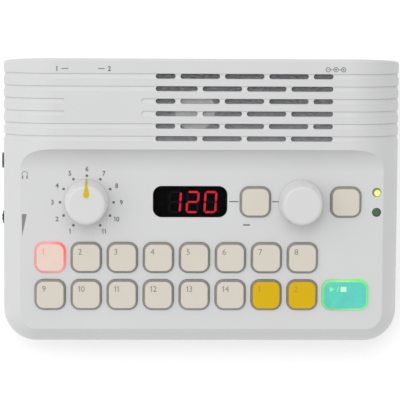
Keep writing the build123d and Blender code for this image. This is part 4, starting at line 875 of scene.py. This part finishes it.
@dataclass
class CaseShells(SubAssembly):
    """Both shells, the battery door with its grip, the feet and the case screws."""

    shell_tint: Colour = (0.600, 0.602, 0.604)
    door_face_z: float = 3.0
    grip_y: float = -40.5
    grip_pitch: float = 1.8
    grip_count: int = 4
    ridge_size: Point2 = (18.0, 0.7)
    ridge_top_size: Point2 = (17.6, 0.35)

    def finishes(self) -> Finishes:
        """Shells and door share one light grey; feet are black rubber, screws dark zinc.

        Returns:
            The finish of each solid.
        """
        return {
            ("upper_case",): MouldedPlastic("case_grey", self.shell_tint, 0.46, wear=0.02),
            ("lower_case", "battery_door"): MouldedPlastic(
                "base_grey", toned(self.shell_tint, 0.97), 0.5, Grain.MEDIUM
            ),
            ("rubber_feet",): Rubber("foot_rubber", (0.030, 0.030, 0.032)),
            ("case_screws",): WorkedMetal("dark_zinc", (0.30, 0.30, 0.31)),
        }

    def build(self) -> list[Piece]:
        """Make the battery door's grip.

        Returns:
            Its ridges, as one piece on the door.
        """
        draft = MeshDraft()
        for row in range(self.grip_count):
            middle = (0.0, self.grip_y + row * self.grip_pitch)
            foot = rounded(middle, self.ridge_size, 0.34)
            crest = rounded(middle, self.ridge_top_size, 0.17)
            rises = ((crest, -0.3), (foot, -0.12), (foot, 0.1))
            draft.stack([(outline, self.door_face_z + rise) for outline, rise in rises])
        finish = MouldedPlastic("door_grip_grey", toned(self.shell_tint, 0.96), 0.5).material()
        return [Piece(draft.make("door_grip_ridges", finish), Body.DOOR.value, "lower_shell")]


@dataclass(frozen=True)
class Rule:
    """Level printed rule."""

    left: float
    right: float
    v: float
    thick: float

    def outline(self) -> Loop:
        """Its four corners, anticlockwise."""
        low, high = self.v - self.thick / 2, self.v + self.thick / 2
        return [(self.left, low), (self.right, low), (self.right, high), (self.left, high)]


@dataclass
class PrintedMarks(SubAssembly):
    """Ink on the case: dial dots and numbers, rules, the headphone and volume signs, the rear marks."""

    ink_tint: Colour = (0.125, 0.125, 0.130)
    pale_tint: Colour = (0.190, 0.190, 0.195)
    rise: float = 0.03
    sink: float = 0.05
    dial_middle: Point2 = (-59.6, -1.57)
    dial_steps: int = 11
    dial_step_deg: float = 30.0
    dot_ring: float = 13.85
    dot_radius: float = 0.72
    number_ring: float = 17.4
    number_spread: float = 0.4
    panel_rules: tuple[Rule, ...] = (
        Rule(14.1, 18.9, -1.0, 0.58),
        Rule(36.3, 39.8, -1.0, 0.58),
        Rule(21.4, 24.9, -13.2, 0.75),
    )
    headphone_middle: Point2 = (-91.6, 12.5)
    band_reach: float = 1.65
    band_thick: float = 0.35
    cup_size: Point2 = (0.75, 1.9)
    volume_wedge: Loop = ((-93.2, -7.8), (-93.0, -19.3), (-90.6, -7.8))
    foot_numbers: tuple[tuple[str, float], ...] = (("1", -75.1), ("2", -48.2))
    foot_number_v: float = 67.0
    foot_rules: tuple[Rule, ...] = (Rule(-72.6, -69.1, 68.3, 0.42), Rule(-54.0, -50.5, 68.3, 0.42))
    plug_v: float = 68.2
    plug_rings: Point3 = (64.0, 68.0, 71.9)
    plug_ring_radii: Point2 = (1.3, 0.95)
    plug_dot_radius: float = 0.48
    plug_bars: tuple[Point2, ...] = ((65.3, 66.7), (69.3, 70.6), (71.25, 72.55), (63.4, 64.6))
    plug_bar_thick: float = 0.3

    def printed(self, outlines: Sequence[Loop], level: float) -> MeshDraft:
        """Draft of flat marks.

        Args:
            outlines: Outline of each mark in the slope frame.
            level: Height of the surface under them.

        Returns:
            The draft.
        """
        draft = MeshDraft(SLOPE.point)
        for outline in outlines:
            draft.prism(outline, level - self.sink, level + self.rise)
        return draft

    def dial_spot(self, index: int, ring: float, spread: float = 0.0) -> Point2:
        """Place of one step of the dial.

        Args:
            index: Number of the step, from 0.
            ring: Its distance from the dial's middle.
            spread: How much further out it lies at the dial's sides.

        Returns:
            Its x and v.
        """
        turn = math.radians((index - (self.dial_steps - 1) / 2) * self.dial_step_deg)
        reach = ring + spread * abs(math.sin(turn))
        return self.dial_middle[0] + reach * math.sin(turn), self.dial_middle[1] + ring * math.cos(turn)

    def dial_numbers(self) -> list[MeshDraft]:
        """Draw the numbers outside the selector's dots.

        Returns:
            A draft of each number.
        """
        lettering = Lettering(height=2.5, narrowing=0.95, weight=0.015, gap=0.5, thickness=0.26)
        made = []
        for index in range(self.dial_steps):
            x, v = self.dial_spot(index, self.number_ring, self.number_spread)
            place = (x, v - lettering.height / 2)
            made.append(lettering.draft(str(index + 1), place, SLOPE.surface_h, centred=True))
        return made

    def headphone_sign(self) -> list[Loop]:
        """Draw a band and two cups.

        Returns:
            Outline of each.
        """
        x, v = self.headphone_middle
        hub = (x, v + 0.45)
        reach = self.band_reach
        outer = arc(hub, (reach, reach - 0.05), range(-12, 193, 12))
        inner = arc(hub, (reach - self.band_thick, reach - 0.05 - self.band_thick), range(192, -13, -12))
        cups = [rounded((x + side * 1.15, v - 1.05), self.cup_size, 0.25) for side in (-1, 1)]
        return [outer + inner, *cups]

    def rear_signs(self) -> MeshDraft:
        """Draw the foot-switch rules and the plug polarity sign: a minus, a dotted ring and a plus.

        Returns:
            A draft of them all.
        """
        bars = [Rule(left, right, self.plug_v, self.plug_bar_thick) for left, right in self.plug_bars]
        dot = circle((self.plug_rings[1], self.plug_v), self.plug_dot_radius, 16)
        upright = rounded((self.plug_rings[2], self.plug_v), (self.plug_bar_thick, 1.3), 0.1)
        draft = self.printed([*(rule.outline() for rule in (*self.foot_rules, *bars)), dot, upright], 0.0)
        for x in self.plug_rings:
            outer, inner = (circle((x, self.plug_v), radius, 28) for radius in self.plug_ring_radii)
            draft.hoop(outer, inner, -self.sink, self.rise)
        return draft

    def build(self) -> list[Piece]:
        """Make all marks, in one ink, with a paler one for the signs beside the left sockets.

        Returns:
            The marks, all on the case.
        """
        ink = PrintInk("grey_ink", self.ink_tint).material()
        pale_ink = PrintInk("pale_grey_ink", self.pale_tint).material()
        spots = [self.dial_spot(index, self.dot_ring) for index in range(self.dial_steps)]
        dots = [circle(spot, self.dot_radius, 20) for spot in spots]
        rules = [rule.outline() for rule in self.panel_rules]
        made = [
            self.printed(dots, SLOPE.panel_h).make("dial_dots", ink),
            self.printed(rules, SLOPE.panel_h).make("panel_rules", ink),
            self.printed(self.headphone_sign(), SLOPE.panel_h).make("headphone_sign", pale_ink),
            self.printed([self.volume_wedge], SLOPE.panel_h).make("volume_sign", pale_ink),
        ]
        for index, draft in enumerate(self.dial_numbers(), 1):
            made.append(draft.make(f"dial_number_{index}", ink))
        lettering = Lettering(height=2.6, narrowing=0.95, weight=0.03, stroke=0.2)
        for text, x in self.foot_numbers:
            draft = lettering.draft(text, (x, self.foot_number_v), lambda v: 0.0, centred=True)
            made.append(draft.make(f"foot_switch_number_{text}", ink))
        made.append(self.rear_signs().make("rear_signs", ink))
        return [Piece(thing, Body.CASE.value, "upper_shell") for thing in made]


@dataclass(frozen=True)
class KeyLook:
    """Colours of a kind of key, its slot name, its ink, and how its body and cap glow."""

    cap: Colour
    body: Colour
    slot: str
    ink: PrintInk | None = None
    glow: Colour = BLACK
    body_glow: float = 0.0
    cap_glow: float = 0.0
    far_cap: Colour | None = None


class KeyKind(Enum):
    """Kinds of key."""

    CREAM = KeyLook(
        (0.621, 0.580, 0.509), (0.268, 0.258, 0.236), "cream_key",
        PrintInk("numeral_ink", (0.215, 0.195, 0.165)),
    )
    RED_LIT = KeyLook(
        (0.685, 0.585, 0.500), (0.50, 0.145, 0.145), "lit_key",
        PrintInk("lit_numeral_ink", (0.66, 0.27, 0.24)), (1.0, 0.075, 0.085), 0.47, 0.07,
    )
    MUSTARD = KeyLook(
        (0.630, 0.400, 0.000), (0.262, 0.218, 0.140), "mustard_key",
        PrintInk("ochre_ink", (0.42, 0.24, 0.01)),
    )
    GREEN_LIT = KeyLook(
        (0.095, 0.480, 0.445), (0.10, 0.43, 0.13), "green_key",
        None, (0.12, 0.95, 0.13), 0.42, 0.12, (0.10, 0.49, 0.50),
    )


@dataclass(frozen=True)
class Key:
    """One key: the middle and width of its opening, its kind and its numeral."""

    middle: Point2
    width: float
    kind: KeyKind
    numeral: str = ""


@dataclass
class KeyField(SubAssembly):
    """All keys with their painted caps and numerals, the silicone mat and the lights under them."""

    first_x: float = -78.5
    pitch: float = 18.68
    rows: Point2 = (-30.3, -49.75)
    row_length: int = 8
    numbered: int = 14
    tap_middle: Point2 = (27.6, -1.1)
    mode_middle: Point2 = (74.5, -1.1)
    play_x: float = 74.6
    play_width: float = 24.5
    opening: float = 16.3
    gap: float = 0.15
    shoulder: float = 1.15
    corner: float = 4.8
    top_h: float = -4.6
    cap_profile: tuple[Point2, ...] = (  # growth and rise of each ring of a cap, from its hem to its flat
        (0.02, -0.10), (0.05, -0.06), (-0.02, 0.005), (-0.12, 0.045), (-0.40, 0.06), (-1.6, 0.06)
    )
    numeral_offset: Point2 = (-4.2, 1.7)
    numeral_rise: float = 0.07
    sign_rise: float = 0.09
    start_triangle: Loop = ((-8.0, 1.85), (-5.3, 3.2), (-8.0, 4.55))
    start_stroke: Loop = ((-4.4, 1.8), (-3.95, 1.8), (-3.15, 4.7), (-3.6, 4.7))
    stop_middle: Point2 = (-0.8, 3.2)
    stop_size: Point2 = (2.9, 2.7)

    def keys(self) -> dict[str, Key]:
        """List the keys.

        Returns:
            Each key by its name.
        """
        made: dict[str, Key] = {}
        for number in range(1, self.numbered + 1):
            row, column = divmod(number - 1, self.row_length)
            middle = (self.first_x + column * self.pitch, self.rows[row])
            kind = KeyKind.RED_LIT if number == 1 else KeyKind.CREAM
            made[f"key_{number}"] = Key(middle, self.opening, kind, str(number))
        for number in (1, 2):
            column = self.numbered - self.row_length - 1 + number
            middle = (self.first_x + column * self.pitch, self.rows[1])
            made[f"fill_key_{number}"] = Key(middle, self.opening, KeyKind.MUSTARD, str(number))
        made["tap_key"] = Key(self.tap_middle, self.opening, KeyKind.CREAM)
        made["mode_key"] = Key(self.mode_middle, self.opening, KeyKind.CREAM)
        made["play_key"] = Key((self.play_x, self.rows[1]), self.play_width, KeyKind.GREEN_LIT)
        return made

    def finishes(self) -> Finishes:
        """List translucent bodies, the silicone mat and the small lights.

        Returns:
            The finish of each.
        """
        made: Finishes = {
            ("key_mat",): Rubber("clear_silicone", (0.60, 0.62, 0.63), 0.5, 0.3),
            ("key_lights",): GlowingSegment("key_light_chip", (0.85, 0.80, 0.55)),
        }
        for name, key in self.keys().items():
            look = key.kind.value
            centre = SLOPE.point(*key.middle, self.top_h)
            made[(name,)] = KeyBody(f"{name}_body", look.body, centre, look.glow, look.body_glow)
        return made

    def cap(self, key: Key) -> MeshDraft:
        """Draw the painted skin on a key's flat top, turned down over its soft edge.

        Args:
            key: The key.

        Returns:
            A draft of the skin.
        """
        inset = self.gap + self.shoulder
        rings = []
        for growth, rise in self.cap_profile:
            size = (key.width + 2 * (growth - inset), self.opening + 2 * (growth - inset))
            rings.append((rounded(key.middle, size, self.corner - inset + growth), self.top_h + rise))
        draft = MeshDraft(SLOPE.point)
        draft.stack(rings)
        return draft

    def build(self) -> list[Piece]:
        """Make caps, numerals and the play key's signs.

        Returns:
            The pieces, each on its key.
        """
        made = []
        inks = {kind: kind.value.ink.material() for kind in KeyKind if kind.value.ink}
        for name, key in self.keys().items():
            look = key.kind.value
            centre = SLOPE.point(*key.middle, self.top_h)
            paint = PaintedCap(f"{name}_paint", look.cap, centre, look.glow, look.cap_glow, look.far_cap)
            made.append(Piece(self.cap(key).make(f"{name}_cap", paint.material()), name, look.slot))
            if key.numeral:
                place = (key.middle[0] + self.numeral_offset[0], key.middle[1] + self.numeral_offset[1])
                face = Lettering().draft(key.numeral, place, lambda v: self.top_h + self.numeral_rise)
                made.append(Piece(face.make(f"{name}_numeral", inks[key.kind]), name, look.slot))
        return made + self.play_signs()

    def play_signs(self) -> list[Piece]:
        """Make the start triangle, the stroke and the stop square, lit from below.

        Returns:
            The start sign with its stroke, and the stop sign.
        """
        pale = PrintInk("lit_sign", (0.19, 0.70, 0.32), 0.15).material()
        bright = PrintInk("bright_sign", (0.40, 0.84, 0.46), 0.33).material()
        square = rounded(self.stop_middle, self.stop_size, 0.15)
        signs = (
            ("play_sign", pale, (self.start_triangle, self.start_stroke)),
            ("stop_sign", bright, (square,)),
        )
        made = []
        for name, ink, outlines in signs:
            draft = MeshDraft(SLOPE.point)
            for outline in outlines:
                moved = [(self.play_x + x, self.rows[1] + v) for x, v in outline]
                draft.prism(moved, self.top_h, self.top_h + self.sign_rise)
            made.append(Piece(draft.make(name, ink), "play_key", KeyKind.GREEN_LIT.value.slot))
        return made


@dataclass
class DigitDisplay(SubAssembly):
    """Three digits of seven light bars behind a smoked window."""

    centres: Point3 = (-14.0, -4.8, 4.45)
    middle_v: float = -1.75
    face_h: float = -10.2
    width: float = 6.7
    height: float = 11.6
    stroke: float = 1.08
    slant_deg: float = 3.4
    spacing: float = 0.16
    shown: tuple[str, str, str] = ("bc", "abged", "abcdef")

    def finishes(self) -> Finishes:
        """Smoked window over a black module.

        Returns:
            The finish of each solid.
        """
        return {
            ("display_window",): SmokedWindow("smoked_acrylic"),
            ("display_module",): MouldedPlastic("display_black", (0.004, 0.004, 0.0045), 0.6, specular=0.1),
        }

    def bar(self, start: Point2, end: Point2) -> Loop:
        """Draw a level or upright bar with pointed ends.

        Args:
            start: Its first corner of the digit, in half widths and half heights.
            end: Its last corner, to the right of the first or above it.

        Returns:
            Its outline round the digit's middle, in millimetres.
        """
        half = Vector((self.width - self.stroke, self.height - self.stroke)) / 2
        first, last = Vector(start) * half, Vector(end) * half
        forth = (last - first).normalized()
        aside = Vector((forth.y, -forth.x)) * self.stroke / 2
        first, last = first + forth * self.spacing, last - forth * self.spacing
        near, far = first + forth * self.stroke / 2, last - forth * self.stroke / 2
        return [tuple(point) for point in (first, near + aside, far + aside, last, far - aside, near - aside)]

    def bars(self) -> dict[str, Loop]:
        """Draw the seven bars of a digit.

        Returns:
            Outline of each bar by its usual letter.
        """
        left, right, low, high, middle = -1, 1, -1, 1, 0
        return {
            "a": self.bar((left, high), (right, high)),
            "g": self.bar((left, middle), (right, middle)),
            "d": self.bar((left, low), (right, low)),
            "b": self.bar((right, middle), (right, high)),
            "c": self.bar((right, low), (right, middle)),
            "f": self.bar((left, middle), (left, high)),
            "e": self.bar((left, low), (left, middle)),
        }

    def build(self) -> list[Piece]:
        """Make the lit and unlit light bars.

        Returns:
            One piece of each.
        """
        lit = GlowingSegment("lit_bar", (1.0, 0.023, 0.066), 1.9).material()
        unlit = GlowingSegment("unlit_bar", (0.032, 0.026, 0.028)).material()
        lean = math.tan(math.radians(self.slant_deg))
        drafts = {True: MeshDraft(SLOPE.point), False: MeshDraft(SLOPE.point)}
        for centre, lit_bars in zip(self.centres, self.shown):
            for letter, bar in self.bars().items():
                outline = [(centre + x + v * lean, self.middle_v + v) for x, v in bar]
                drafts[letter in lit_bars].prism(outline, self.face_h - 0.1, self.face_h + 0.04)
        return [
            Piece(drafts[True].make("lit_light_bars", lit), Body.CASE.value, "module"),
            Piece(drafts[False].make("unlit_light_bars", unlit), Body.CASE.value, "module"),
        ]


@dataclass
class StatusLamps(SubAssembly):
    """Two round lamps at the panel's right edge, the rear one lit."""

    x: float = 90.6
    rows: Point2 = (3.95, -6.45)
    radius: float = 2.25
    top_h: float = -6.3
    glow_aside: float = 0.35

    def finishes(self) -> Finishes:
        """List the lit yellow-green lens, its glow a little off the middle, and the unlit green one.

        Returns:
            The finish of each lens.
        """
        lit_middle = SLOPE.point(self.x + self.glow_aside, self.rows[0] - self.glow_aside, self.top_h)
        dark_middle = SLOPE.point(self.x, self.rows[1], self.top_h)
        lit = LampLens("lit_lens", (0.26, 0.34, 0.03), lit_middle, self.radius, (0.95, 0.95, 0.28), 0.95)
        dark = LampLens("dark_lens", (0.033, 0.112, 0.032), dark_middle, self.radius)
        return {("pattern_lamp",): lit, ("pad_lamp",): dark}


class ControlDials(SubAssembly):
    """Selector and value knobs, the pointer, their shafts and switches, and the volume wheel."""

    def finishes(self) -> Finishes:
        """Knobs a touch lighter and smoother than the case; mustard pointer; turned shafts.

        Returns:
            The finish of each solid.
        """
        return {
            ("selector_knob", "value_knob"): MouldedPlastic(
                "knob_grey", (0.615, 0.617, 0.615), 0.40, wear=0.03, sheen=0.4
            ),
            ("selector_pointer",): MouldedPlastic(
                "pointer_mustard", (0.600, 0.425, 0.000), 0.50, specular=0.2
            ),
            ("selector_shaft", "value_shaft"): WorkedMetal("turned_shaft", (0.56, 0.56, 0.57)),
            ("selector_switch", "value_encoder", "volume_control"): MouldedPlastic(
                "switch_black", (0.020, 0.020, 0.021), 0.5
            ),
            ("volume_wheel",): MouldedPlastic(
                "wheel_black", (0.016, 0.016, 0.017), 0.55, Grain.MEDIUM, wear=0.15
            ),
        }


@dataclass
class SpeakerUnit(SubAssembly):
    """Cloth, basket, magnet, cone, surround, clamp screws and wires."""

    middle: Point2 = (-4.1, 46.7)
    cloth_h: float = -2.5
    cap_h: float = -6.0
    cap_radius: float = 10.2

    def finishes(self) -> Finishes:
        """List grey cloth, black basket, zinc magnet, dark paper cone and the small parts.

        Returns:
            The finish of each.
        """
        seen = SLOPE.point(*self.middle, self.cloth_h)
        cap = SLOPE.point(*self.middle, self.cap_h)
        cloth, shown = (0.182, 0.182, 0.194), (0.50, 0.50, 0.50)
        paper, cap_paper = (0.045, 0.045, 0.047), (0.34, 0.34, 0.34)
        return {
            ("speaker_cloth",): SpeakerCloth("speaker_cloth", cloth, shown, seen),
            ("speaker_basket",): WorkedMetal("black_basket", (0.035, 0.035, 0.037), 0.45, painted=True),
            ("speaker_magnet",): WorkedMetal("zinc_magnet", (0.44, 0.44, 0.42), 0.4),
            ("speaker_cone",): SpeakerPaper("cone_paper", paper, cap_paper, cap, self.cap_radius),
            ("speaker_surround",): Rubber("surround_cloth", (0.020, 0.020, 0.021), 0.85),
            ("speaker_screws",): WorkedMetal("black_screw", (0.16, 0.16, 0.165)),
            ("speaker_wires",): Cable("speaker_lead", (0.42, 0.02, 0.02), (0.30, 0.015, 0.015), 2.0),
        }


class EdgeSockets(SubAssembly):
    """Rear and left sockets and the power switch."""

    def finishes(self) -> Finishes:
        """Black moulded sockets, a tinned switch can, a black slider.

        Returns:
            The finish of each solid.
        """
        return {
            ("foot_jack_1", "foot_jack_2", "headphone_jack", "dc_inlet"): MouldedPlastic(
                "socket_black", (0.018, 0.018, 0.019), 0.38, wear=0.1
            ),
            ("power_switch",): WorkedMetal("tinned_can", (0.60, 0.60, 0.58)),
            ("power_slider",): MouldedPlastic(
                "slider_black", (0.024, 0.024, 0.025), 0.5, Grain.MEDIUM, wear=0.12
            ),
        }


class InnerBoards(SubAssembly):
    """Both circuit boards with their screws, the ribbon and the battery contacts."""

    def finishes(self) -> Finishes:
        """Green boards, grey ribbon, nickel contacts, zinc screws.

        Returns:
            The finish of each solid.
        """
        return {
            ("panel_board", "main_board"): CircuitBoard("green_board"),
            ("board_ribbon",): Cable("grey_ribbon", (0.42, 0.42, 0.43), (0.24, 0.24, 0.25)),
            ("battery_contacts",): WorkedMetal("nickel_sheet", (0.66, 0.65, 0.60), 0.28),
            ("board_screws", "main_board_screws"): WorkedMetal("zinc_screw", (0.50, 0.50, 0.49)),
        }


# ---- Studio ---------------------------------------------------------------------------------------
@dataclass(frozen=True)
class SoftLight:
    """Square light that faces the case, with its place and size in millimetres and its power in watts."""

    name: str
    place: Point3
    size: float
    power: float

    def hang(self) -> None:
        """Hang the light in the scene."""
        lamp = bpy.data.lights.new(self.name, "AREA")
        lamp.shape = "SQUARE"
        lamp.size = self.size * MM
        lamp.energy = self.power
        holder = bpy.data.objects.new(self.name, lamp)
        place = Vector(self.place) * MM
        aim = (-place).to_track_quat("-Z", "Y").to_matrix().to_4x4()
        holder.matrix_world = Matrix.Translation(place) @ aim
        holder.visible_camera = False
        bpy.context.scene.collection.objects.link(holder)


@dataclass
class Studio:
    """Pale floor, soft lights, and the camera high above the case."""

    eye: Point3 = (-52.0, 0.9, 1516.8)
    aim: Point3 = (-1.1, 0.64, 46.9)
    focal: float = 255.8
    sensor: float = 36.0
    roll_deg: float = 0.15
    sight: float = 100.0
    floor_size: float = 8000.0
    floor_tones: tuple[Colour, Colour] = ((0.60, 0.60, 0.60), (0.63, 0.63, 0.63))
    floor_glow: float = 0.42
    sky: float = 0.69
    soft_lights: tuple[SoftLight, ...] = (
        SoftLight("left_light", (-1500.0, 450.0, 2100.0), 3000.0, 29.6),
        SoftLight("rear_light", (0.0, 900.0, 2300.0), 1200.0, 13.0),
    )

    def floor(self) -> None:
        """Lay a plain pale floor that glows a little, like a lit table."""
        draft = MeshDraft()
        half = self.floor_size / 2
        draft.faces.append(draft.ring([(-half, -half), (half, -half), (half, half), (-half, half)], 0.0))
        shader = ShaderDraft("studio_floor")
        shader.set(
            Base_Color=shader.blend(shader.noise(400.0), *self.floor_tones),
            Roughness=0.9,
            Specular_IOR_Level=0.1,
            Emission_Color=(*WHITE, 1.0),
            Emission_Strength=self.floor_glow,
        )
        draft.make("studio_floor", shader.material)

    def lights(self) -> None:
        """Set up an even sky with the soft lights."""
        world = bpy.data.worlds.new("studio_sky")
        world.use_nodes = True
        sky = world.node_tree.nodes["Background"]
        sky.inputs["Color"].default_value = (*WHITE, 1.0)
        sky.inputs["Strength"].default_value = self.sky
        bpy.context.scene.world = world
        for soft_light in self.soft_lights:
            soft_light.hang()

    def camera(self) -> None:
        """Place the camera nearly straight above, a little left of the middle."""
        lens = bpy.data.cameras.new("camera")
        lens.lens = self.focal
        lens.sensor_width = self.sensor
        lens.clip_end = self.sight
        lens.dof.use_dof = False
        holder = bpy.data.objects.new("camera", lens)
        eye, aim = Vector(self.eye) * MM, Vector(self.aim) * MM
        back = (eye - aim).normalized()
        right = Vector((0.0, 1.0, 0.0)).cross(back).normalized()
        turn = Matrix((right, back.cross(right), back)).transposed().to_4x4()
        roll = Matrix.Rotation(math.radians(self.roll_deg), 4, "Z")
        holder.matrix_world = Matrix.Translation(eye) @ turn @ roll
        bpy.context.scene.collection.objects.link(holder)
        bpy.context.scene.camera = holder

    def set_up(self) -> None:
        """Build the whole studio."""
        bpy.context.scene.view_settings.view_transform = "Standard"
        self.floor()
        self.lights()
        self.camera()


def main() -> None:
    """Load the frame, dress and build every sub-assembly, and set up the studio."""
    logging.basicConfig(level=logging.INFO, format="%(name)s: %(message)s")
    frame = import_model()
    Studio().set_up()
    for part in (CaseShells(), PrintedMarks(), KeyField(), DigitDisplay(), StatusLamps(), ControlDials(),
                 SpeakerUnit(), EdgeSockets(), InnerBoards()):
        part.dress(frame["nodes"])
        for piece in part.build():
            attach(piece.thing, piece.body)
            LOG.info("%s: %s rides on %s", type(part).__name__, piece.thing.name, piece.body)
        LOG.info("%s dressed", type(part).__name__)


if __name__ == "__main__":
    main()
